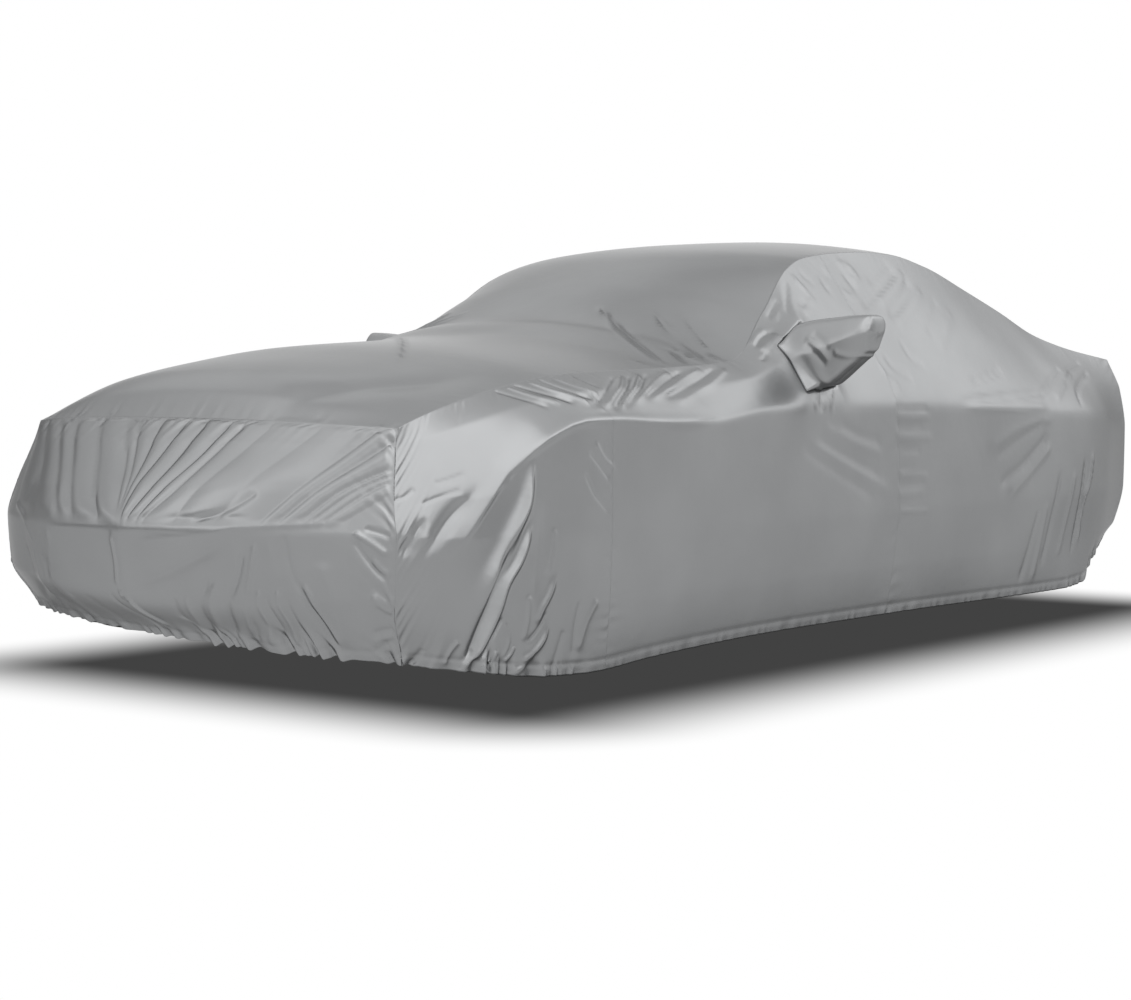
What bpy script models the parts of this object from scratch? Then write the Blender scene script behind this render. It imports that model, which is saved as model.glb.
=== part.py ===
"""Fitted car cover, long in the bonnet and low in the boot, in the shape in which it hangs.

Silver-grey coated polyester cloth, cut and sewn from a top strip, a nose panel, a tail panel,
three side panels on each side, and a pocket sewn over a hole in each middle side panel. The
cover is hollow and open underneath.

Frame: +Z up, the nose towards -Y, the driver's side towards +X. The origin is the point under
the cloth where the roof's highest point carries it. The tables give heights above the floor
and lengths along the cover from the middle of the roof, and the last step moves them down.
"""

import math

import bpy
import numpy as np

# Driving dimensions, in metres.
CLOTH = 0.002  # thickness of the sewn cloth
SEAM_GAP = 0.0004  # between two panels that a seam joins
POCKET_GAP = 0.0010  # the same round a pocket, whose rim has points that the hole's lacks
ROOF_TOP = 1.455  # the cloth's highest point above the floor
CORNER_REACH = 0.40  # how far along the side the slant of the corner seams fades out
FULLNESS = 2.4  # power of the curve across the strip and the ends: higher is boxier
HIDDEN_HEM_LIFT = 0.075  # the nose's hem rides this much higher on the -X side
HEM_LIFT_Y = (-2.00, -2.70)  # where that lift starts and is whole, along the cover
HEM_LIFT_Z = (0.50, 0.16)  # and up it
HEM_LIFT_X = (0.75, -0.75)  # and across it
CLOTH_GREY = (0.42, 0.42, 0.43, 1.0)

# The side of the cover, cut across at stations along it. Each row gives the half breadth x and
# the height z of six guide lines, from the top seam down to the hem: the seam, the brow between
# it and the shoulder, the shoulder's crest, the flank, the sill and the hem. bow is how far the
# middle of the top strip runs ahead of the seam, and crown how far it stands above the seam.
STATIONS = (
    # y, seam x, z, brow x, z, crest x, z, flank x, z, sill x, z, hem x, z, bow, crown
    (-2.70, 0.742, 0.828, 0.760, 0.750, 0.794, 0.660, 0.803, 0.550, 0.797, 0.360, 0.757, 0.185, 0.15, 0.022),
    (-2.62, 0.744, 0.854, 0.798, 0.782, 0.838, 0.682, 0.846, 0.540, 0.846, 0.352, 0.822, 0.170, 0.15, 0.078),
    (-2.50, 0.746, 0.886, 0.822, 0.818, 0.872, 0.704, 0.886, 0.525, 0.892, 0.342, 0.876, 0.152, 0.14, 0.102),
    (-2.25, 0.748, 0.938, 0.850, 0.885, 0.916, 0.788, 0.925, 0.520, 0.922, 0.320, 0.910, 0.120, 0.13, 0.094),
    (-2.03, 0.752, 0.968, 0.862, 0.925, 0.934, 0.828, 0.938, 0.510, 0.930, 0.310, 0.914, 0.112, 0.12, 0.093),
    (-1.75, 0.755, 0.982, 0.858, 0.932, 0.936, 0.826, 0.936, 0.500, 0.922, 0.310, 0.900, 0.124, 0.13, 0.094),
    (-1.45, 0.760, 0.992, 0.850, 0.930, 0.928, 0.822, 0.934, 0.500, 0.916, 0.310, 0.892, 0.134, 0.16, 0.102),
    (-1.15, 0.776, 1.010, 0.862, 0.956, 0.930, 0.850, 0.936, 0.500, 0.914, 0.310, 0.888, 0.140, 0.22, 0.148),
    (-0.84, 0.700, 1.170, 0.826, 1.035, 0.932, 0.860, 0.938, 0.500, 0.914, 0.310, 0.886, 0.142, 0.20, 0.108),
    (-0.60, 0.640, 1.325, 0.798, 1.110, 0.932, 0.862, 0.938, 0.500, 0.914, 0.310, 0.886, 0.142, 0.15, 0.054),
    (-0.46, 0.616, 1.368, 0.785, 1.130, 0.932, 0.862, 0.938, 0.500, 0.914, 0.310, 0.886, 0.142, 0.12, 0.042),
    (-0.20, 0.602, 1.396, 0.775, 1.142, 0.932, 0.860, 0.938, 0.500, 0.916, 0.310, 0.888, 0.142, 0.05, 0.047),
    (0.00, 0.600, 1.405, 0.772, 1.144, 0.933, 0.855, 0.939, 0.500, 0.918, 0.310, 0.890, 0.141, 0.00, 0.050),
    (0.15, 0.600, 1.402, 0.772, 1.140, 0.934, 0.850, 0.940, 0.500, 0.920, 0.310, 0.892, 0.140, -0.02, 0.050),
    (0.40, 0.606, 1.364, 0.775, 1.116, 0.938, 0.840, 0.944, 0.500, 0.926, 0.310, 0.900, 0.139, -0.05, 0.052),
    (0.68, 0.622, 1.282, 0.788, 1.060, 0.940, 0.828, 0.946, 0.500, 0.932, 0.310, 0.912, 0.139, -0.08, 0.050),
    (0.92, 0.646, 1.201, 0.800, 1.005, 0.936, 0.820, 0.940, 0.500, 0.926, 0.310, 0.914, 0.139, -0.10, 0.046),
    (1.14, 0.676, 1.116, 0.812, 0.967, 0.922, 0.812, 0.924, 0.500, 0.906, 0.310, 0.896, 0.148, -0.12, 0.040),
    (1.34, 0.700, 1.070, 0.805, 0.942, 0.888, 0.800, 0.890, 0.500, 0.868, 0.320, 0.845, 0.230, -0.13, 0.036),
    (1.70, 0.715, 1.020, 0.755, 0.907, 0.775, 0.760, 0.776, 0.500, 0.765, 0.350, 0.728, 0.262, -0.15, 0.030),
)
GUIDES = 6
FIRST, LAST = STATIONS[0], STATIONS[-1]

# The nose panel, a row for each guide line: y where it meets the corner seam, how far its
# middle stands ahead of that, and how far its middle stands above it.
NOSE = (
    # y, ahead, above
    (-2.690, 0.15, 0.022),
    (-2.708, 0.20, 0.010),
    (-2.752, 0.25, 0.000),
    (-2.770, 0.28, 0.000),
    (-2.764, 0.25, 0.000),
    (-2.692, 0.17, 0.004),
)
# The tail panel, in the same way.
TAIL = (
    # y, behind, above
    (1.725, 0.15, 0.030),
    (1.760, 0.16, 0.018),
    (1.775, 0.17, 0.000),
    (1.765, 0.17, 0.000),
    (1.700, 0.15, 0.000),
    (1.600, 0.11, -0.010),
)

# Upright seams of the side, and the columns of each side panel. The top strip shares them.
SIDE_PANELS = (
    # name, from y, to y, columns, finer by
    ("side_front", -2.70, -1.98, 9, 3),
    ("side_middle", -1.98, -0.34, 18, 1),
    ("side_rear", -0.34, 1.70, 24, 1),
)
ROWS_BETWEEN_GUIDES = (3, 3, 2, 2, 2)
STRIP_COLUMNS = 16  # across the top strip, the nose and the tail
NOSE_FINER = 3

SHARP = math.radians(50)  # an edge between two faces turned more than this shows as an edge

# The main folds, as soft ridges (+) and troughs (-) that stand out of the cloth, drawn on the
# cover seen flat from one side: from a, b to c, d, with the middle pulled sideways by bend, and
# width from the middle to where the fold has all but gone. On the sides a and c are y and b and
# d are z; on the nose and the tail they are x and z, and on the top strip x and y.
FOLDS = (
    # view, a, b, c, d, bend, width, height
    ("left", -2.470, 0.730, -2.740, 0.480, 0.010, 0.045, -0.020),
    ("left", -2.430, 0.690, -2.700, 0.440, 0.010, 0.050, 0.018),
    ("left", -2.330, 0.770, -2.540, 0.300, 0.020, 0.050, -0.018),
    ("left", -2.300, 0.780, -2.530, 0.330, 0.020, 0.034, 0.030),
    ("left", -2.330, 0.640, -2.560, 0.150, 0.015, 0.032, -0.030),
    ("left", -2.310, 0.600, -2.560, 0.150, 0.015, 0.032, 0.026),
    ("left", -2.300, 0.560, -2.400, 0.130, 0.010, 0.045, -0.016),
    ("left", -2.240, 0.430, -2.380, 0.140, 0.020, 0.036, 0.018),
    ("left", -2.160, 0.480, -2.190, 0.150, 0.000, 0.050, 0.010),
    ("left", 0.740, 0.700, 0.360, 0.450, 0.020, 0.070, 0.010),
    ("left", 1.120, 0.700, 0.960, 0.330, 0.020, 0.060, 0.016),
    ("right", -2.480, 0.720, -2.700, 0.350, 0.010, 0.050, 0.020),
    ("right", -2.420, 0.740, -2.560, 0.180, 0.020, 0.050, -0.020),
    ("right", -2.340, 0.760, -2.450, 0.150, 0.015, 0.042, 0.026),
    ("right", -2.240, 0.650, -2.300, 0.140, 0.010, 0.050, -0.014),
    ("right", -2.150, 0.550, -2.220, 0.140, 0.000, 0.050, 0.012),
    ("right", 0.900, 0.720, 0.520, 0.380, 0.020, 0.070, 0.012),
    ("right", 1.160, 0.680, 1.020, 0.300, 0.010, 0.060, 0.014),
    ("nose", 0.040, 0.565, 0.780, 0.560, 0.000, 0.040, 0.014),
    ("nose", 0.470, 0.520, 0.060, 0.370, 0.010, 0.060, -0.016),
    ("nose", 0.060, 0.590, 0.230, 0.850, 0.000, 0.035, -0.018),
    ("nose", 0.110, 0.590, 0.330, 0.850, 0.000, 0.045, 0.012),
    ("nose", 0.230, 0.640, 0.380, 0.800, 0.000, 0.040, -0.012),
    ("nose", 0.540, 0.590, 0.700, 0.790, 0.000, 0.040, -0.018),
    ("nose", 0.600, 0.590, 0.780, 0.730, 0.000, 0.040, 0.012),
    ("nose", 0.030, 0.360, 0.170, 0.190, 0.000, 0.040, 0.012),
    ("nose", 0.200, 0.360, 0.170, 0.170, 0.000, 0.035, -0.014),
    ("nose", 0.280, 0.380, 0.250, 0.170, 0.000, 0.035, 0.010),
    ("nose", 0.360, 0.380, 0.320, 0.170, 0.000, 0.035, -0.014),
    ("nose", 0.440, 0.400, 0.400, 0.170, 0.000, 0.035, 0.010),
    ("nose", 0.510, 0.400, 0.470, 0.170, 0.000, 0.035, -0.014),
    ("nose", 0.650, 0.460, 0.590, 0.170, 0.000, 0.040, -0.012),
    ("nose", -0.100, 0.600, -0.110, 0.840, 0.000, 0.050, 0.010),
    ("nose", -0.300, 0.600, -0.330, 0.840, 0.000, 0.050, -0.012),
    ("nose", -0.560, 0.560, -0.420, 0.200, 0.000, 0.060, 0.016),
    ("nose", -0.500, 0.600, -0.640, 0.800, 0.000, 0.060, -0.012),
    ("tail", -0.200, 0.850, -0.500, 0.500, 0.020, 0.080, 0.012),
    ("tail", 0.350, 0.700, 0.250, 0.300, 0.010, 0.070, 0.012),
    ("tail", -0.100, 0.480, -0.140, 0.250, 0.000, 0.060, -0.012),
    ("top", 0.300, -1.200, 0.620, -1.480, 0.000, 0.060, 0.008),
    ("top", 0.460, -1.130, 0.700, -1.330, 0.000, 0.060, 0.008),
    ("top", -0.400, -1.180, -0.640, -1.420, 0.000, 0.070, 0.008),
)

VIEWS = {
    "left": (1, 0, 0),
    "right": (-1, 0, 0),
    "nose": (0, -1, 0),
    "tail": (0, 1, 0),
    "top": (0, 0, 1),
}
FOLD_START = (-0.08, 0.25)  # shares of a fold's length between which it rises to its height
FOLD_FINISH = (1.12, 0.85)  # and between which it has died away
FOLD_FALLOFF = 2.5  # how fast a fold falls away across its width
FOLD_FACING = (1.4, 0.2)  # a fold drawn in one view wanes where the cloth turns from that view

# The pocket over the hole in the middle side panel, as rings on its way out: the ring's middle
# x, y and z, its half length along y, its half height, how far its top leans back along y, how
# far its rear stands out beyond its middle, and how far its foot stands out beyond its middle.
HOLE_ROWS = (2, 5)
HOLE_COLUMNS = (11, 14)
POCKET_FINER = 2
POCKET_RINGS = (
    # x, y, z, half length, half height, back, rear out, foot out
    (0.915, -0.855, 1.022, 0.122, 0.088, 0.010, -0.010, 0.036),
    (0.965, -0.840, 1.052, 0.116, 0.088, 0.012, 0.000, 0.022),
    (1.020, -0.815, 1.082, 0.102, 0.079, 0.014, 0.010, 0.012),
    (1.074, -0.790, 1.104, 0.086, 0.068, 0.014, 0.010, 0.004),
    (1.100, -0.780, 1.110, 0.058, 0.048, 0.008, 0.006, 0.002),
)
POCKET_TIP = (1.106, -0.778, 1.112)
POCKET_SQUARENESS = 2.6


def smooth(knots, values, at):
    """Values at the points `at` of the monotone cubic curve through the knots (no overshoot)."""
    x, y, at = (np.asarray(a, float) for a in (knots, values, at))
    step = np.diff(x)
    slope = np.diff(y) / step
    turn = np.zeros(len(x))
    both = slope[:-1] * slope[1:] > 0
    w1 = 2 * step[1:] + step[:-1]
    w2 = step[1:] + 2 * step[:-1]
    before = np.where(both, slope[:-1], 1.0)
    after = np.where(both, slope[1:], 1.0)
    turn[1:-1] = np.where(both, (w1 + w2) / (w1 / before + w2 / after), 0.0)
    turn[0], turn[-1] = slope[0], slope[-1]
    i = np.clip(np.searchsorted(x, at) - 1, 0, len(step) - 1)
    t = np.clip((at - x[i]) / step[i], 0.0, 1.0)
    h = step[i]
    return (
        (2 * t**3 - 3 * t**2 + 1) * y[i]
        + (t**3 - 2 * t**2 + t) * h * turn[i]
        + (-2 * t**3 + 3 * t**2) * y[i + 1]
        + (t**3 - t**2) * h * turn[i + 1]
    )


def column(table, k):
    """Column k of a table as an array."""
    return np.array([row[k] for row in table], float)


def ease(a, b, x):
    """0 at a, 1 at b, with a soft start and end."""
    t = np.clip((np.asarray(x) - a) / (b - a), 0.0, 1.0)
    return t * t * (3 - 2 * t)


def rows_down():
    """The guide-line value of each row of a side or end panel, from 0, the seam, to 5, the hem."""
    found = [0.0]
    for guide, parts in enumerate(ROWS_BETWEEN_GUIDES):
        found += [guide + (k + 1) / parts for k in range(parts)]
    return np.array(found)


def near_end(y, end_y):
    """1 at an end of the cover and 0 from CORNER_REACH away from it."""
    return np.clip(1 - np.abs(y - end_y) / CORNER_REACH, 0, 1) ** 2


def side_surface(y):
    """Grid of the +X side: a row for each row value, a column for each y."""
    rows = rows_down()
    stations = column(STATIONS, 0)
    knots = np.arange(float(GUIDES))
    x = np.array([smooth(stations, column(STATIONS, 1 + 2 * g), y) for g in range(GUIDES)])
    z = np.array([smooth(stations, column(STATIONS, 2 + 2 * g), y) for g in range(GUIDES)])
    ahead = column(NOSE, 0) - FIRST[0]
    behind = column(TAIL, 0) - LAST[0]
    grid = np.empty((len(rows), len(y), 3))
    for i, yi in enumerate(y):
        slant = ahead * near_end(yi, FIRST[0]) + behind * near_end(yi, LAST[0])
        grid[:, i, 0] = smooth(knots, x[:, i], rows)
        grid[:, i, 1] = yi + smooth(knots, slant, rows)
        grid[:, i, 2] = smooth(knots, z[:, i], rows)
    return grid


def end_surface(ends, station, sign, u):
    """Grid of the nose (sign -1) or the tail (sign +1): a row for each row value, a column for each u."""
    rows = rows_down()
    knots = np.arange(float(GUIDES))
    half = smooth(knots, [station[1 + 2 * g] for g in range(GUIDES)], rows)
    z = smooth(knots, [station[2 + 2 * g] for g in range(GUIDES)], rows)
    y, bow, rise = (smooth(knots, column(ends, k), rows) for k in range(3))
    middle = 1 - np.abs(u) ** FULLNESS
    grid = np.empty((len(rows), len(u), 3))
    grid[:, :, 0] = half[:, None] * u
    grid[:, :, 1] = y[:, None] + sign * bow[:, None] * middle
    grid[:, :, 2] = z[:, None] + rise[:, None] * middle
    return grid


def top_surface(y, u):
    """Grid of the top strip: a row for each u across, a column for each y along the seam."""
    stations = column(STATIONS, 0)
    x, z, bow, crown = (smooth(stations, column(STATIONS, k), y) for k in (1, 2, 13, 14))
    ahead = (NOSE[0][0] - FIRST[0]) * near_end(y, FIRST[0])
    behind = (TAIL[0][0] - LAST[0]) * near_end(y, LAST[0])
    middle = (1 - np.abs(u) ** FULLNESS)[:, None]
    grid = np.empty((len(u), len(y), 3))
    grid[:, :, 0] = u[:, None] * x
    grid[:, :, 1] = y + ahead + behind - bow * middle
    grid[:, :, 2] = z + crown * middle
    return grid


def lean(points):
    """The nose's hem rides higher towards the -X side."""
    x, y, z = np.moveaxis(points, -1, 0)
    across = np.clip((x - HEM_LIFT_X[0]) / (HEM_LIFT_X[1] - HEM_LIFT_X[0]), 0, 1)
    share = ease(*HEM_LIFT_Y, y) * ease(*HEM_LIFT_Z, z) * across
    out = points.copy()
    out[..., 2] = z + HIDDEN_HEM_LIFT * share
    return out


def mirrored(grid):
    """The same grid on the other side."""
    return grid * np.array([-1.0, 1.0, 1.0])


def base_panels():
    """Every panel before its folds, by name: its grid, whether that faces inwards, and how much finer it is
    than the panels round it, along its columns and its rows.
    """
    u = np.linspace(-1, 1, STRIP_COLUMNS + 1)
    u_fine = np.linspace(-1, 1, STRIP_COLUMNS * NOSE_FINER + 1)
    y_all = []
    panels = {}
    for name, start, end, count, finer in SIDE_PANELS:
        y = np.linspace(start, end, count * finer + 1)
        y_all += list(np.linspace(start, end, count + 1)[:-1])
        side = side_surface(y)
        panels[name + "_l"] = (lean(side), False, (1, finer))
        panels[name + "_r"] = (lean(mirrored(side)), True, (1, finer))
    y_all.append(LAST[0])
    panels["top_panel"] = (lean(top_surface(np.array(y_all), u)), False, (1, 1))
    nose = end_surface(NOSE, FIRST, -1, u_fine)
    panels["front_panel"] = (lean(nose), False, (1, NOSE_FINER))
    panels["rear_panel"] = (lean(end_surface(TAIL, LAST, 1, u)), True, (1, 1))
    return panels


def unit(vectors):
    """The vectors at length 1."""
    return vectors / np.maximum(np.linalg.norm(vectors, axis=-1, keepdims=True), 1e-12)


def grid_normals(grid, inwards):
    """Outward unit normals of a grid, from the slopes along its rows and columns."""
    normals = np.cross(np.gradient(grid, axis=0), np.gradient(grid, axis=1))
    return unit(-normals if inwards else normals)


def edges_of(grid):
    """Views of the four edges of a grid, each with the axis that the edge runs along."""
    return ((grid[0], 1), (grid[-1], 1), (grid[:, 0], 0), (grid[:, -1], 0))


def straighten(grid, finer):
    """Put the extra points of a finer panel's edges on the straight lines between the shared ones."""
    for edge, axis in edges_of(grid):
        step = finer[axis]
        if step > 1:
            t = np.arange(step)[:, None] / step
            for k in range(0, len(edge) - 1, step):
                edge[k : k + step] = edge[k] * (1 - t) + edge[k + step] * t


def share_edge_normals(panels, normals):
    """Where panels meet, give each the mean of their normals, so that their rims lie face to face."""
    total = {}
    places = []
    for name, (grid, _, finer) in panels.items():
        for (edge, axis), (edge_normals, _) in zip(edges_of(grid), edges_of(normals[name])):
            for k in range(0, len(edge), finer[axis]):
                key = tuple(np.round(edge[k], 5))
                total.setdefault(key, {})[name] = edge_normals[k].copy()
                places.append((key, edge_normals, k))
    for key, edge_normals, k in places:
        edge_normals[k] = unit(sum(total[key].values()))
    for name, (_, _, finer) in panels.items():
        straighten(normals[name], finer)


def fold_depth(view, points, facing):
    """How far the folds of one view push the cloth out at each point, by its facing to that view."""
    x, y, z = np.moveaxis(points, -1, 0)
    a, b = {"left": (y, z), "right": (y, z), "nose": (x, z), "tail": (x, z), "top": (x, y)}[view]
    depth = np.zeros(a.shape)
    for name, a0, b0, a1, b1, bend, width, height in FOLDS:
        if name != view:
            continue
        length = math.hypot(a1 - a0, b1 - b0)
        along = ((a - a0) * (a1 - a0) + (b - b0) * (b1 - b0)) / length**2
        across = ((b - b0) * (a1 - a0) - (a - a0) * (b1 - b0)) / length
        across = across - bend * 4 * along * (1 - along)
        fade = ease(*FOLD_START, along) * ease(*FOLD_FINISH, along)
        depth += height * fade * np.exp(-FOLD_FALLOFF * (across / width) ** 2)
    return depth * np.clip(FOLD_FACING[0] * facing - FOLD_FACING[1], 0, 1)


def folded(panels):
    """The panels with their folds, pushed along the shared normals."""
    normals = {name: grid_normals(grid, inwards) for name, (grid, inwards, _) in panels.items()}
    share_edge_normals(panels, normals)
    out = {}
    for name, (grid, inwards, finer) in panels.items():
        depth = sum(fold_depth(view, grid, normals[name] @ np.array(way)) for view, way in VIEWS.items())
        grid = grid + normals[name] * depth[..., None]
        straighten(grid, finer)
        out[name] = (grid, inwards, finer)
    return out


def hole_path():
    """Rows and columns of the points round the hole in a middle side panel, in order."""
    (r0, r1), (c0, c1) = HOLE_ROWS, HOLE_COLUMNS
    path = [(r0, c) for c in range(c0, c1)] + [(r, c1) for r in range(r0, r1)]
    path += [(r1, c) for c in range(c1, c0, -1)] + [(r, c0) for r in range(r1, r0, -1)]
    return path


def round_hole(values):
    """The values of a grid round the hole, with POCKET_FINER - 1 more on each straight between two."""
    rim = np.array([values[r, c] for r, c in hole_path()])
    t = np.arange(POCKET_FINER)[None, :, None] / POCKET_FINER
    finer = rim[:, None] * (1 - t) + np.roll(rim, -1, axis=0)[:, None] * t
    return finer.reshape(-1, 3)


def pocket_surface(rim):
    """Rings of the +X pocket from the hole's rim to its tip, each a rounded oblong round its middle."""
    middle = rim.mean(axis=0)
    angle = np.arctan2(rim[:, 2] - middle[2], rim[:, 1] - middle[1])
    power = 2 / POCKET_SQUARENESS
    along = np.sign(np.cos(angle)) * np.abs(np.cos(angle)) ** power
    up = np.sign(np.sin(angle)) * np.abs(np.sin(angle)) ** power
    rings = [rim]
    for x, y, z, half_length, half_height, back, rear_out, foot_out in POCKET_RINGS:
        out = x + rear_out * along - foot_out * up
        rings.append(np.stack([out, y + half_length * along + back * up, z + half_height * up], axis=-1))
    rings.append(np.tile(np.array(POCKET_TIP), (len(rim), 1)))
    return np.array(rings)


def pocket_normals(rings):
    """Outward unit normals of a pocket's rings, +X at the tip."""
    around = np.roll(rings, -1, axis=1) - np.roll(rings, 1, axis=1)
    outwards = np.gradient(rings, axis=0)
    normals = np.cross(outwards, around)
    away = rings - rings.mean(axis=1, keepdims=True)
    if (normals * away).sum() < 0:
        normals = -normals
    normals[-1] = (1.0, 0.0, 0.0)
    return unit(normals)


def triangles(points, index, keep, closed):
    """Triangles over the kept cells of a grid of point numbers, each cell split along its shorter diagonal."""
    wide = np.roll(index, -1, axis=1) if closed else np.pad(index[:, 1:], ((0, 0), (0, 1)))
    ii, jj = np.nonzero(keep)
    a, b, c, d = index[ii, jj], wide[ii, jj], wide[ii + 1, jj], index[ii + 1, jj]
    across = np.linalg.norm(points[a] - points[c], axis=1)
    other = np.linalg.norm(points[b] - points[d], axis=1)
    pick = (across <= other)[:, None]
    first = np.where(pick, np.stack([a, d, c], 1), np.stack([a, d, b], 1))
    second = np.where(pick, np.stack([a, c, b], 1), np.stack([d, c, b], 1))
    faces = np.concatenate([first, second])
    whole = (faces[:, 0] != faces[:, 1]) & (faces[:, 1] != faces[:, 2]) & (faces[:, 2] != faces[:, 0])
    return faces[whole]


def open_edges(faces):
    """Edges that only one triangle has, each in the direction in which that triangle runs."""
    edges = np.concatenate([faces[:, [0, 1]], faces[:, [1, 2]], faces[:, [2, 0]]])
    known = {tuple(edge) for edge in edges.tolist()}
    return [edge for edge in edges.tolist() if (edge[1], edge[0]) not in known]


def draw_in(points, normals, rim, hem, gap):
    """Move the sewn rim half the gap into its own panel, so that two panels stand apart."""
    ways = {}
    for start, end in rim:
        if start in hem and end in hem:
            continue
        for point in (start, end):
            inward = np.cross(normals[point], points[end] - points[start])
            ways.setdefault(point, []).append(inward / np.linalg.norm(inward))
    moved = points.copy()
    for point, found in ways.items():
        one, two = found[0], found[-1]
        moved[point] += gap / 2 * (one + two) / max(1 + one @ two, 0.5)
    return moved


def cloth_shell(name, grid, normals, keep=None, closed=False, hem=True, gap=SEAM_GAP):
    """A closed solid, CLOTH thick inwards from a grid, split alike on its two faces.

    keep says which cells are cloth. closed joins the last column to the first and draws the last
    row together to one point. hem says that the last row is the free hem and not a seam, and gap
    is what a seam leaves open.
    """
    rows, columns = grid.shape[:2]
    index = np.arange(rows * columns).reshape(rows, columns)
    free = set(index[-1].tolist()) if hem else set()
    if closed:
        index[-1] = index[-1, 0]
    if keep is None:
        keep = np.ones((rows - 1, columns if closed else columns - 1), bool)
    points, flat = grid.reshape(-1, 3), normals.reshape(-1, 3)
    faces = triangles(points, index, keep, closed)
    a, b, c = points[faces[:, 0]], points[faces[:, 1]], points[faces[:, 2]]
    if (np.cross(b - a, c - a) * flat[faces[:, 0]]).sum() < 0:
        faces = faces[:, ::-1]
    rim = open_edges(faces)
    outer = draw_in(points, flat, rim, free, gap)
    inner = outer - flat * CLOTH
    count = len(points)
    walls = [(q, p, p + count) for p, q in rim] + [(q, p + count, q + count) for p, q in rim]
    faces = np.concatenate([faces, faces[:, ::-1] + count, np.array(walls)])
    used, faces = np.unique(faces, return_inverse=True)
    corners = np.concatenate([outer, inner])[used]
    corners[:, 2] -= ROOF_TOP - CLOTH
    mesh = bpy.data.meshes.new(name)
    mesh.from_pydata(corners.tolist(), [], faces.reshape(-1, 3).tolist())
    mesh.shade_smooth()
    mesh.set_sharp_from_angle(angle=SHARP)
    mesh.materials.append(cloth_material(name))
    return bpy.data.objects.new(name, mesh)


def cloth_material(name):
    """Silver-grey polyester with a soft satin coat."""
    material = bpy.data.materials.new(name + "_cloth")
    material.use_nodes = True
    surface = material.node_tree.nodes["Principled BSDF"]
    surface.inputs["Base Color"].default_value = CLOTH_GREY
    surface.inputs["Roughness"].default_value = 0.5
    surface.inputs["Metallic"].default_value = 0.1
    return material


def main():
    """Every panel and pocket, as an object of the cover's one collection."""
    for thing in list(bpy.data.objects):
        bpy.data.objects.remove(thing)
    collection = bpy.data.collections.new("car_cover")
    bpy.context.scene.collection.children.link(collection)

    panels = folded(base_panels())
    normals = {name: grid_normals(grid, inwards) for name, (grid, inwards, _) in panels.items()}
    share_edge_normals(panels, normals)
    for side, flip in (("l", 1.0), ("r", -1.0)):
        name = "side_middle_" + side
        way = np.array([flip, 1.0, 1.0])
        grid = panels[name][0]
        rings = pocket_surface(round_hole(grid * way))
        slopes = pocket_normals(rings)
        for k, (r, c) in enumerate(hole_path()):
            normals[name][r, c] = unit(normals[name][r, c] + slopes[0, k * POCKET_FINER] * way)
        slopes[0] = round_hole(normals[name] * way)
        pocket = "mirror_pocket_" + side
        shell = cloth_shell(pocket, rings * way, slopes * way, closed=True, hem=False, gap=POCKET_GAP)
        collection.objects.link(shell)
    for name, (grid, _, _) in panels.items():
        keep = np.ones((grid.shape[0] - 1, grid.shape[1] - 1), bool)
        if name.startswith("side_middle"):
            keep[slice(*HOLE_ROWS), slice(*HOLE_COLUMNS)] = False
        hem = name != "top_panel"
        collection.objects.link(cloth_shell(name, grid, normals[name], keep, hem=hem))


main()
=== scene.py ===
import math

import bpy
import numpy as np
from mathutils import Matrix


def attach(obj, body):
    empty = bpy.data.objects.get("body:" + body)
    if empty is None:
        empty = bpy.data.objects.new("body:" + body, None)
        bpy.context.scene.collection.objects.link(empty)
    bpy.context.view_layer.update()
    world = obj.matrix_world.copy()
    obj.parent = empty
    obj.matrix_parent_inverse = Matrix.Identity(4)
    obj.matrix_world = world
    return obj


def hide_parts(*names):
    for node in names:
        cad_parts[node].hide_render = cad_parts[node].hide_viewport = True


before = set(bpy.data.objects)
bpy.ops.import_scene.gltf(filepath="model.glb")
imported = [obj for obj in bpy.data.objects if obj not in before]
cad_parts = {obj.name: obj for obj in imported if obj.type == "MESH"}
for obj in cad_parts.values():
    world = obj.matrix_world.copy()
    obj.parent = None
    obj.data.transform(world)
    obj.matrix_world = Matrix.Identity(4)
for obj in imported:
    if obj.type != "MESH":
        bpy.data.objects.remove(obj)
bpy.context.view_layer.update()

ROOF_TOP = 1.453  # the frame's origin above the floor

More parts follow.
